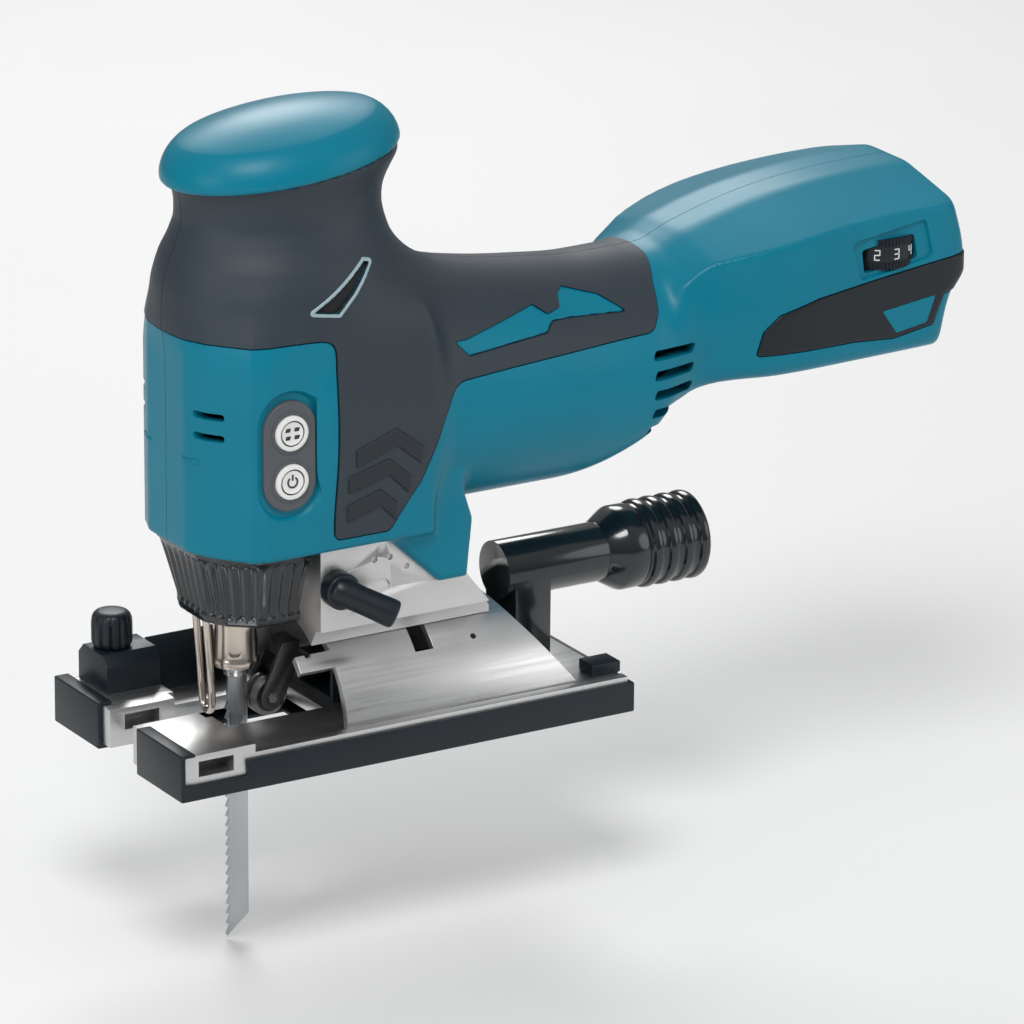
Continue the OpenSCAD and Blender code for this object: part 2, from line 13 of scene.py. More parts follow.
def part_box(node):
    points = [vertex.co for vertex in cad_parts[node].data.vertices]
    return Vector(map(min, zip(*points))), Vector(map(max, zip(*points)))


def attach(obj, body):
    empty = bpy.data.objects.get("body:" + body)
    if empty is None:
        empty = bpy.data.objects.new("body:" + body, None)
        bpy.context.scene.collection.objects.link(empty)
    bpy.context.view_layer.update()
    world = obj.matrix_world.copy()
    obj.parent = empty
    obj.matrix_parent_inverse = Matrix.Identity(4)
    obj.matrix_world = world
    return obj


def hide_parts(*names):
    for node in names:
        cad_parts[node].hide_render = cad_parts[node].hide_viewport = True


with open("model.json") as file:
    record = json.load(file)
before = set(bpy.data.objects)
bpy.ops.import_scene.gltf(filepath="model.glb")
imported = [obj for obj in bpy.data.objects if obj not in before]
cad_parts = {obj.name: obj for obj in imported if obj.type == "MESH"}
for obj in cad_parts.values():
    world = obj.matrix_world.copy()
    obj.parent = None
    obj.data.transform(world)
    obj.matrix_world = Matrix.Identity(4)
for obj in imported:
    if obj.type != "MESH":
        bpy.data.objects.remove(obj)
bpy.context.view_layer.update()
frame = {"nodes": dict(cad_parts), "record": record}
nodes = frame["nodes"]
MM = 0.001

# ---- distance fields, in millimetres


def smin(a, b, k):
    """The smaller of two distances, blended over a width of k."""
    h = np.maximum(k - np.abs(a - b), 0) / k
    return np.minimum(a, b) - h * h * k * 0.25


def smax(a, b, k):
    return -smin(-a, -b, k)


def curve(x, xs, ys):
    """A smooth curve through points: cubic Hermite with limited slopes."""
    xs, ys = np.asarray(xs, float), np.asarray(ys, float)
    step = np.diff(ys) / np.diff(xs)
    slope = np.concatenate([[step[0]], (step[1:] + step[:-1]) / 2, [step[-1]]])
    slope[1:-1][step[1:] * step[:-1] <= 0] = 0
    x = np.clip(x, xs[0], xs[-1])
    i = np.clip(np.searchsorted(xs, x) - 1, 0, len(xs) - 2)
    w = xs[i + 1] - xs[i]
    t = (x - xs[i]) / w
    a, b = ys[i], ys[i + 1]
    return (a * (1 + 2 * t) * (1 - t) ** 2 + b * t * t * (3 - 2 * t)
            + w * (slope[i] * t * (1 - t) ** 2 - slope[i + 1] * t * t * (1 - t)))


def polygon_distance(u, v, points):
    """Signed distance to a closed outline, negative inside."""
    best, inside = np.full(np.broadcast(u, v).shape, 1e9), np.zeros(np.broadcast(u, v).shape, bool)
    n = len(points)
    for i in range(n):
        (ax, ay), (bx, by) = points[i], points[(i + 1) % n]
        ex, ey = bx - ax, by - ay
        t = np.clip(((u - ax) * ex + (v - ay) * ey) / (ex * ex + ey * ey), 0, 1)
        best = np.minimum(best, (u - ax - t * ex) ** 2 + (v - ay - t * ey) ** 2)
        if ey != 0:
            inside ^= ((ay > v) != (by > v)) & (u < (v - ay) * ex / ey + ax)
    return np.where(inside, -1, 1) * np.sqrt(best)


def ellipse_distance(u, v, a, b):
    k0 = np.sqrt((u / a) ** 2 + (v / b) ** 2)
    k1 = np.sqrt((u / a ** 2) ** 2 + (v / b ** 2) ** 2)
    return k0 * (k0 - 1) / np.maximum(k1, 1e-6)


def and_mirrored(points):
    """Half an outline, then its mirror image in the second coordinate on the way back."""
    return points + [(u, -v) for u, v in reversed(points)]


HEAD_PLAN = and_mirrored([(-55.6, -10.6), (-53, -17.4), (-45.2, -27.8), (-41.5, -29), (10, -29)])


def head_field(x, y, z):
    d = polygon_distance(x, y, HEAD_PLAN) - 2.2
    d = smax(d, z - 139, 22)
    return smax(d, 63.2 - z, 1.5)


def neck_field(x, y, z):
    heights = [118, 128, 137, 145, 152, 158, 163, 172]
    front = curve(z, heights, [-57.6, -57.8, -58.2, -56.6, -53.6, -52, -52.2, -55])
    back = curve(z, [118, 128, 142, 150, 158, 163, 172], [24, 22, 14.5, 10.8, 9.2, 9.8, 14])
    half = curve(z, heights, [30.5, 31, 31, 28.6, 24.9, 23, 23.2, 26.3])
    d = ellipse_distance(x - (front + back) / 2, y, (back - front) / 2, half)
    return smax(d, 122 - z, 10)


# Where the knob's cap sits on the neck, and how far it leans
CAP_X, CAP_Z, CAP_TILT = -20.5, 171.0, math.radians(6.5)


def above_cap_plane(x, z, h=0.0):
    return (z - CAP_Z - h) * math.cos(CAP_TILT) - (x - CAP_X) * math.sin(CAP_TILT)


def barrel_field(x, y, z):
    motor = np.sqrt(y ** 2 + (z - 94.5) ** 2) - 31.3
    motor = smax(motor, (x - 74.5) * 0.66 - (z - 63.2) * 0.75, 10)
    motor = smax(motor, x - 97, 12)
    motor = smax(motor, -20 - x, 2)
    # The rounded ridge along the top, dropping to the rear
    top = curve(x, [-20, 14, 26, 40, 60, 77, 92, 110], [146, 140, 135.5, 132.2, 128.6, 126.2, 126.4, 128])
    half = curve(x, [-20, 20, 60, 80, 97, 112], [30, 29, 27, 25.5, 25.5, 27])
    low = curve(x, [-20, 70, 85, 96, 106, 116], [72, 72, 76, 84, 88.6, 90])
    mid, height = (top + low) / 2, (top - low) / 2
    grip = ellipse_distance(y, z - mid, half, height)
    grip = smax(grip, x - 118, 6)
    grip = smax(grip, -20 - x, 2)
    return smin(motor, grip, 9)


def block_field(x, y, z):
    """The battery block: slanted roof with a flat strip, sides, and a rear that juts out at mid height."""
    half = curve(x, [94, 104, 114, 126, 150, 190], [25, 26.5, 30.6, 34.2, 35.3, 35.2])
    low = curve(x, [94, 104, 112, 127, 184, 192], [86, 88, 89.4, 90.0, 91.4, 91.8])
    top = curve(x, [94, 99, 103, 108, 181, 187, 192], [124, 126.5, 129.6, 132.6, 143.0, 142.6, 141])
    rear = curve(z, [88, 94, 108, 115.5, 119, 137, 146], [182.4, 183, 186.4, 190.6, 190.6, 186.6, 184.4])
    ay = np.abs(y)
    d = smax(ay - half, (z - top) * 0.99, 1.2)
    roof = (z - top) * 0.963 + (ay - 9.5) * 0.268
    d = smax(d, roof, 0.7)
    d = smax(d, low - z, 3)
    d = smax(d, (low - z) * 0.86 + (ay - half + 5) * 0.5, 4)
    d = smax(d, (x - rear) * 0.97, 2.5)
    d = smax(d, (x - rear + 1.2) * 0.7 + (ay - 33.5) * 0.7, 3)
    return smax(d, 98 - x, 3)


FOOT = [(-1, 63), (16, 47), (24.7, 47), (26.5, 64), (22, 78), (-12, 78)]


def foot_field(x, y, z):
    d = polygon_distance(x, z, FOOT) - 0.4
    return smax(d, np.abs(y) - 27.8, 2.5)


def body_field(x, y, z):
    d = smin(head_field(x, y, z), neck_field(x, y, z), 6)
    d = smin(d, barrel_field(x, y, z), 9)
    d = smin(d, block_field(x, y, z), 8)
    d = smin(d, foot_field(x, y, z), 4)
    return smax(d, above_cap_plane(x, z), 0.8)


def mesh_from_field(name, field, low, high, h, refine=2, iso=0.0):
    """Closed mesh of field = iso inside a box, its points moved onto the true surface."""
    low, high = np.array(low, float), np.array(high, float)
    count = np.ceil((high - low) / h).astype(int) + 1
    axes = [low[i] + h * np.arange(count[i]) for i in range(3)]
    x, y, z = axes[0][:, None, None], axes[1][None, :, None], axes[2][None, None, :]
    values = np.ascontiguousarray(np.broadcast_to(field(x, y, z), count), np.float32) - iso
    band = 3.0 * h
    grid = openvdb.FloatGrid(background=band)
    grid.copyFromArray(np.clip(values, -band, band))
    points, triangles, quads = grid.convertToPolygons(isovalue=0.0, adaptivity=0.0)
    points = points.astype(float) * h + low
    for _ in range(refine):
        px, py, pz = points.T
        d = field(px, py, pz) - iso
        e = 0.05
        g = np.stack([field(px + e, py, pz) - iso - d, field(px, py + e, pz) - iso - d,
                      field(px, py, pz + e) - iso - d], 1) / e
        g2 = np.maximum((g ** 2).sum(1), 0.25)
        points = points - np.clip(d / g2, -0.5 * h, 0.5 * h)[:, None] * g
    faces = [tuple(int(i) for i in face) for face in list(quads) + list(triangles)]
    return mesh_object(name, points, faces)


# ---- mesh helpers


def placed(name, data):
    """A new object in the scene."""
    obj = bpy.data.objects.new(name, data)
    bpy.context.scene.collection.objects.link(obj)
    return obj


@contextmanager
def edited(obj):
    """The object's mesh for editing, written back afterwards."""
    bm = bmesh.new()
    bm.from_mesh(obj.data)
    yield bm
    bm.to_mesh(obj.data)
    bm.free()


def mesh_object(name, points, faces, smooth=True):
    mesh = bpy.data.meshes.new(name)
    mesh.from_pydata([Vector(p) * MM for p in points], [], faces)
    mesh.validate()
    mesh.update()
    if smooth:
        mesh.polygons.foreach_set("use_smooth", [True] * len(mesh.polygons))
    return placed(name, mesh)


def apply_modifiers(obj):
    """Bakes the modifiers into the mesh."""
    graph = bpy.context.evaluated_depsgraph_get()
    graph.update()
    mesh = bpy.data.meshes.new_from_object(obj.evaluated_get(graph), depsgraph=graph)
    obj.modifiers.clear()
    obj.data = mesh
    return obj


def boolean(obj, cutter, operation="DIFFERENCE", keep=False):
    m = obj.modifiers.new("cut", "BOOLEAN")
    m.object, m.operation, m.solver = cutter, operation, "EXACT"
    apply_modifiers(obj)
    if not keep:
        bpy.data.objects.remove(cutter)
    return obj


def clean(obj, sharp=35):
    """Smooth shading, with edges sharper than the angle kept crisp."""
    obj.data.polygons.foreach_set("use_smooth", [True] * len(obj.data.polygons))
    obj.data.set_sharp_from_angle(angle=math.radians(sharp))
    return obj


AXES = {"x": lambda u, v, w: (w, u, v), "y": lambda u, v, w: (u, w, v), "z": lambda u, v, w: (u, v, w)}


def side_faces(n):
    """Faces of a solid between an outline of n points and its copy: two ends and the sides."""
    faces = [tuple(range(n)), tuple(range(2 * n - 1, n - 1, -1))]
    return faces + [(i, i + n, (i + 1) % n + n, (i + 1) % n) for i in range(n)]


def ring_faces(rows, count):
    """Faces of a solid of stacked rings with count points each: the sides and two ends."""
    faces = []
    for i in range(rows - 1):
        for j in range(count):
            a, b = i * count + j, i * count + (j + 1) % count
            faces.append((a, b, b + count, a + count))
    last = (rows - 1) * count
    return faces + [tuple(range(count - 1, -1, -1)), tuple(range(last, last + count))]


def prism(name, outline, axis, low, high, bevel=0.0, segments=3):
    """An outline extruded along an axis: x takes (y, z) points, y takes (x, z), z takes (x, y)."""
    place = AXES[axis]
    points = [place(u, v, low) for u, v in outline] + [place(u, v, high) for u, v in outline]
    obj = fix_normals(mesh_object(name, points, side_faces(len(outline)), smooth=False))
    if bevel:
        bevelled(obj, bevel, segments)
    return obj


def fix_normals(obj):
    with edited(obj) as bm:
        bmesh.ops.recalc_face_normals(bm, faces=bm.faces)
    return obj


def bevelled(obj, width, segments, angle=30):
    m = obj.modifiers.new("bevel", "BEVEL")
    m.width, m.segments = width * MM, segments
    m.limit_method, m.angle_limit = "ANGLE", math.radians(angle)
    m.harden_normals = False
    apply_modifiers(obj)
    return clean(obj, 40)


def arc_points(centre, radius, start, end, count=12):
    cu, cv = centre
    angles = [math.radians(start + (end - start) * i / count) for i in range(count + 1)]
    return [(cu + radius * math.cos(a), cv + radius * math.sin(a)) for a in angles]


def rounded(points, radius, count=5):
    """Outline with every corner rounded."""
    out = []
    n = len(points)
    for i in range(n):
        p, a, b = Vector(points[i]), Vector(points[i - 1]), Vector(points[(i + 1) % n])
        r = radius[i] if isinstance(radius, (list, tuple)) else radius
        u, v = (a - p).normalized(), (b - p).normalized()
        half = u.angle(v) / 2
        if r <= 0 or half > 1.5:
            out.append(tuple(points[i]))
            continue
        t = min(r / math.tan(half), 0.49 * (a - p).length, 0.49 * (b - p).length)
        for k in range(count + 1):
            s = k / count
            q = (1 - s) ** 2 * (p + u * t) + 2 * s * (1 - s) * p + s * s * (p + v * t)
            out.append(tuple(q))
    return out


def lathe(name, profile, axis, centre, count=64):
    """A closed profile of (along, radius) points turned about an axis through centre."""
    n = len(profile)
    points, faces = [], []
    for j in range(count):
        a = 2 * math.pi * j / count
        for s, r in profile:
            u, v = r * math.cos(a), r * math.sin(a)
            p = {"x": (s, u, v), "y": (v, s, u), "z": (u, v, s)}[axis]
            points.append((p[0] + centre[0], p[1] + centre[1], p[2] + centre[2]))
    for j in range(count):
        k = (j + 1) % count
        for i in range(n):
            i2 = (i + 1) % n
            faces.append((j * n + i, j * n + i2, k * n + i2, k * n + i))
    obj = mesh_object(name, points, faces)
    with edited(obj) as bm:
        bmesh.ops.remove_doubles(bm, verts=bm.verts, dist=1e-6)
        bmesh.ops.dissolve_degenerate(bm, edges=bm.edges, dist=1e-7)
        bmesh.ops.recalc_face_normals(bm, faces=bm.faces)
    return clean(obj, 32)


def joined(name, parts):
    """Several pieces as one object, each a closed shell of its own."""
    bm = bmesh.new()
    slots = []
    for part in parts:
        part.data.transform(part.matrix_world)
        start = len(bm.faces)
        bm.from_mesh(part.data)
        bm.faces.ensure_lookup_table()
        for f in bm.faces[start:]:
            m = part.data.materials[f.material_index] if part.data.materials else None
            if m not in slots:
                slots.append(m)
            f.material_index = slots.index(m)
    mesh = bpy.data.meshes.new(name)
    bm.to_mesh(mesh)
    bm.free()
    for m in slots:
        mesh.materials.append(m)
    for part in parts:
        bpy.data.objects.remove(part)
    return placed(name, mesh)


def from_cad(name, node, bevel, segments):
    """A copy of a CAD node's shape with softened edges."""
    obj = placed(name, nodes[node].data.copy())
    with edited(obj) as bm:
        bmesh.ops.remove_doubles(bm, verts=bm.verts, dist=2e-6)
        bmesh.ops.dissolve_limit(bm, angle_limit=math.radians(1.0), verts=bm.verts, edges=bm.edges)
        bmesh.ops.recalc_face_normals(bm, faces=bm.faces)
    obj.data.materials.clear()
    return bevelled(obj, bevel, segments, 32)


def paint(obj, material):
    obj.data.materials.clear()
    obj.data.materials.append(material)
    return obj


def mirrored(obj, name):
    """The same piece on the other side of the tool's middle plane."""
    copy = placed(name, obj.data.copy())
    copy.data.transform(Matrix.Scale(-1, 4, Vector((0, 1, 0))))
    copy.data.flip_normals()
    return copy


# ---- materials


# The stretch of a noise's values that its ramps use
NOISE_SPAN = (0.3, 0.7)


class Shader:
    """A small helper that wires a procedural material."""

    def __init__(self, name, color, roughness, metallic=0.0, **more):
        self.material = bpy.data.materials.new(name)
        self.material.use_nodes = True
        tree = self.material.node_tree
        self.nodes, self.links = tree.nodes, tree.links
        self.shader = self.nodes["Principled BSDF"]
        self.set("Base Color", (*color, 1))
        self.set("Roughness", roughness)
        self.set("Metallic", metallic)
        for key, value in more.items():
            self.set(key.replace("_", " "), value)
        self.place = self.nodes.new("ShaderNodeTexCoord").outputs["Object"]

    def set(self, socket, value):
        self.shader.inputs[socket].default_value = value

    def add(self, kind, sources, values):
        """A node, wired to the outputs in sources and set to the numbers in values."""
        node = self.nodes.new("ShaderNode" + kind)
        for socket, output in sources.items():
            self.links.new(output, node.inputs[socket])
        for socket, value in values.items():
            node.inputs[socket].default_value = value
        return node

    def noise(self, scale, detail=3.0, roughness=0.5, stretch=None):
        place = self.place
        if stretch:
            place = self.add("Mapping", {"Vector": place}, {"Scale": stretch}).outputs["Vector"]
        values = {"Scale": scale, "Detail": detail, "Roughness": roughness}
        return self.add("TexNoise", {"Vector": place}, values).outputs["Fac"]

    def cells(self, scale):
        return self.add("TexVoronoi", {"Vector": self.place}, {"Scale": scale}).outputs["Distance"]

    def ramp(self, value, low, high):
        """Maps a noise to a range of numbers."""
        ends = {"From Min": NOISE_SPAN[0], "From Max": NOISE_SPAN[1], "To Min": low, "To Max": high}
        return self.add("MapRange", {"Value": value}, ends).outputs["Result"]

    def tint(self, value, color, vary):
        """Wavers between slightly darker and slightly lighter than the colour."""
        node = self.add("ValToRGB", {"Fac": value}, {})
        for element, at, k in zip(node.color_ramp.elements, NOISE_SPAN, (1 - vary, 1 + vary)):
            element.position = at
            element.color = (*(min(1, c * k) for c in color), 1)
        return node.outputs["Color"]

    def link(self, output, socket):
        self.links.new(output, self.shader.inputs[socket])

    def bump(self, height, strength, distance):
        """Adds relief; several calls stack."""
        node = self.add("Bump", {"Height": height}, {"Strength": strength, "Distance": distance})
        normal = self.shader.inputs["Normal"]
        if normal.is_linked:
            self.links.new(normal.links[0].from_socket, node.inputs["Normal"])
        self.links.new(node.outputs["Normal"], normal)


def plastic(name, color, roughness, grain=0.00002, vary=0.06, scale=2600.0, **more):
    """Moulded plastic with a fine spark-eroded texture and slight unevenness."""
    s = Shader(name, color, roughness, **more)
    fine = s.noise(scale, 2.0)
    broad = s.noise(22.0, 3.0)
    s.link(s.tint(broad, color, vary), "Base Color")
    s.link(s.ramp(broad, roughness - 0.04, roughness + 0.05), "Roughness")
    s.bump(fine, 0.5, grain)
    return s.material


def metal(name, color, roughness, brush=None, grain=0.00002, vary=0.08, speckle=0.0, **more):
    """Bare metal: brushed along an axis, or blasted where brush is None."""
    s = Shader(name, color, roughness, metallic=1.0, **more)
    stretch = {"x": (0.03, 1, 1), "y": (1, 0.03, 1), "z": (1, 1, 0.03), None: (1, 1, 1)}[brush]
    lines = s.noise(900.0 if brush else 1500.0, 4.0, 0.65, stretch)
    broad = s.noise(30.0, 4.0)
    s.link(s.tint(broad, color, vary), "Base Color")
    s.link(s.ramp(lines, roughness - 0.07, roughness + 0.09), "Roughness")
    s.bump(lines, 0.35, grain)
    if speckle:
        s.bump(s.cells(1100.0), 0.4, speckle)
    return s.material


TEAL = plastic("teal_moulding", (0.0, 0.18, 0.268), 0.36, vary=0.05, Specular_IOR_Level=0.22)
TEAL_DARK = plastic("teal_in_shade", (0.002, 0.07, 0.1), 0.5)
RUBBER = plastic("soft_grip_rubber", (0.024, 0.036, 0.048), 0.5, grain=0.00006, vary=0.12, scale=1900.0,
                 Specular_IOR_Level=0.4)
# Rubber darkened as painted shade, for the faces below the folds of the grip's steps
RUBBER_STEP_SHADE = plastic("grip_step_rubber", (0.009, 0.015, 0.021), 0.6, grain=0.00006, vary=0.12, scale=1900.0)
BLACK = plastic("black_moulding", (0.007, 0.012, 0.017), 0.4, vary=0.15, Specular_IOR_Level=0.36)
GLOSS = plastic("gloss_black_moulding", (0.009, 0.012, 0.015), 0.17, grain=0.000008, vary=0.2,
                Coat_Weight=0.3)
GREY = plastic("grey_moulding", (0.075, 0.083, 0.092), 0.48, vary=0.1)
# Near-black painted shade for the insides of holes, recesses and the hollow body
SHADE_BLACK = plastic("painted_recess_shade", (0.003, 0.004, 0.005), 0.7)
WHITE = plastic("white_key", (0.78, 0.78, 0.76), 0.3, grain=0.000006, vary=0.02)
INK = plastic("printed_ink", (0.75, 0.77, 0.77), 0.45, grain=0.000004, vary=0.03)
DARK_INK = plastic("dark_ink", (0.02, 0.025, 0.03), 0.45, grain=0.000004, vary=0.05)
ALUMINIUM = metal("blasted_aluminium", (0.66, 0.655, 0.65), 0.4, grain=0.00004, speckle=0.00002)
PLATE = metal("brushed_base_plate", (0.62, 0.62, 0.62), 0.34, brush="x", grain=0.00003)
STEEL = metal("turned_steel", (0.5, 0.5, 0.51), 0.27, brush="y")
SLEEVE = metal("polished_sleeve", (0.56, 0.5, 0.44), 0.2, brush="z")
BLADE = metal("ground_blade", (0.5, 0.52, 0.54), 0.32, brush="z")
DARK_STEEL = metal("hardened_steel", (0.16, 0.16, 0.16), 0.36, grain=0.00004, vary=0.2)
SCREW = metal("blackened_screw", (0.06, 0.06, 0.065), 0.4, vary=0.2)
BRONZE = metal("sintered_bronze", (0.5, 0.32, 0.14), 0.4, grain=0.00005, speckle=0.00003)
BOARD = plastic("coated_board", (0.012, 0.09, 0.04), 0.3, vary=0.3)
LENS = plastic("lamp_lens", (0.8, 0.83, 0.86), 0.12, grain=0.000004, Coat_Weight=0.4)
# Pale blue-grey painted highlight for the raised rim round the triangular vent
VENT_RIM_HIGHLIGHT = plastic("vent_rim_painted_highlight", (0.3, 0.42, 0.46), 0.35, vary=0.05)
# Bright metal, a painted highlight line in the grooves along the base plate's rails
GROOVE_HIGHLIGHT = metal("groove_painted_highlight", (0.8, 0.8, 0.79), 0.3, brush="x")
BRASS_TINT = metal("sleeve_inside", (0.26, 0.2, 0.13), 0.35, brush="z")

BY_SLOT = {"teal_plastic": TEAL, "rubber_grip": RUBBER, "black_plastic": BLACK, "grey_plastic": GREY,
           "gloss_black": GLOSS, "key_white": WHITE, "cast_aluminium": ALUMINIUM, "bright_steel": STEEL,
           "polished_steel": SLEEVE, "dark_steel": DARK_STEEL, "blade_steel": BLADE, "bronze_bush": BRONZE,
           "motor_laminate": DARK_STEEL, "dark_screw": SCREW, "circuit_board": BOARD, "lamp_lens": LENS}
slot_of = {s["node"]: s["material_slot"] for s in frame["record"]["subparts"]}
for node_name, node_object in nodes.items():
    paint(node_object, BY_SLOT[slot_of[node_name]])


def finish_piece(obj, body, *cad_nodes, slot=None):
    """Attaches a finished piece to the body it rides on and hides the CAD nodes it stands for. The slot
    argument is not used.
    """
    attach(obj, body)
    if cad_nodes:
        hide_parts(*cad_nodes)
    return obj


# ---- body, grip and knob cap

FINE = 1.0
GRAIN = 0.4
SEAM = -0.12
# Levels of the body's surface: the rubber's face, the plastic under it, and the inside of the walls
PROUD, UNDER, INSIDE = 0.3, -0.8, -3.0
# Axis of the blade rod
ROD_X = -36

# Side view (x, z) of what the rubber covers
RUBBER_ZONE = [(-80, 126.3), (-46, 126.3), (-21, 126.3), (-21, 66.6), (-3, 66.6), (6.5, 80), (13.8, 98),
               (18.5, 107), (38, 108.2), (86, 110.4), (89.2, 115), (91.2, 122), (95.5, 129), (96, 200),
               (-80, 200)]
RUBBER_CORNERS = [0, 0, 5, 2.5, 3, 6, 8, 7, 9, 4, 4, 8, 8, 0, 0]
ARROW = [(19.7, 118.1), (24.3, 113.2), (51.5, 115.1), (54.4, 117.6), (59.7, 117.6), (80.3, 116.4),
         (72.6, 121.8), (62, 125), (59.6, 123.8), (58.2, 120.8), (53.6, 119.8), (49.7, 122.7), (24.3, 117.9)]
TRIANGLE = [(-27.4, 134.6), (-19.6, 133.4), (-6.6, 145.3), (-8.6, 145.9)]
PAD = (-35.2, 94.1)
KEY_X, KEY_Z = -35, (101, 86.7)
# (x, z, seat in y) of the screws that hold the halves together
SCREWS = ((-50.5, 72, 17), (-50.5, 128, 17), (56, 124, 12), (90, 82, 15), (115, 124, 24), (180, 133, 24))
SIDE_PANEL = [(118.6, 98.9), (120.6, 106), (125.5, 110.6), (138, 114.1), (158, 116.9), (176, 119),
              (198, 121.4), (198, 112), (187, 109.4), (181.4, 109.3), (177.6, 100.4), (164, 98.2), (150, 99.2)]
BADGE = [(159.6, 107), (178.2, 109.3), (175.2, 101.4), (164.6, 99.8)]
WINDOW_RECESS = [(149.6, 129), (174.4, 132.6), (177.2, 121.2), (152.6, 117.6)]
WINDOW = [(153, 126.2), (171, 128.8), (172.4, 121.2), (154, 118.9)]


def shrunk(points, t):
    """Outline moved inwards by t, whichever way round it is drawn."""
    n = len(points)
    area = sum(p[0] * q[1] - q[0] * p[1] for p, q in zip(points, points[1:] + points[:1]))
    t = t if area > 0 else -t
    out = []
    for i in range(n):
        p, a, b = Vector(points[i]), Vector(points[i - 1]), Vector(points[(i + 1) % n])
        u, v = (p - a).normalized(), (b - p).normalized()
        nu, nv = Vector((-u.y, u.x)), Vector((-v.y, v.x))
        out.append(tuple(p + t * (nu + nv) / max(0.4, 1 + nu.dot(nv))))
    return out


def stadium(centre, length, width, count=14):
    """Upright outline with round ends."""
    r, s = width / 2, (length - width) / 2
    return arc_points((centre[0], centre[1] + s), r, 0, 180, count) + \
        arc_points((centre[0], centre[1] - s), r, 180, 360, count)


def taper(name, outer, inner, y_outer, y_inner):
    """A frustum along Y between two outlines with the same number of points."""
    points = [(u, y_outer, v) for u, v in outer] + [(u, y_inner, v) for u, v in inner]
    return fix_normals(mesh_object(name, points, side_faces(len(outer)), smooth=False))


def patch(name, outline, offset, material, low, high, thick=1.2, soft=0.5, distance=None):
    """A thin piece that follows the left side of the body inside an outline seen from the side.

    Its face lies at offset from the body's surface. distance, if given, takes the outline's place."""
    def field(x, y, z):
        d = body_field(x, y, z)
        edge = distance(x, z) if distance else polygon_distance(x, z, outline)
        return smax(smax(d - offset, edge, soft), offset - thick - d, 0.2)
    obj = mesh_from_field(name, field, low, high, GRAIN)
    return paint(clean(obj, 50), material)


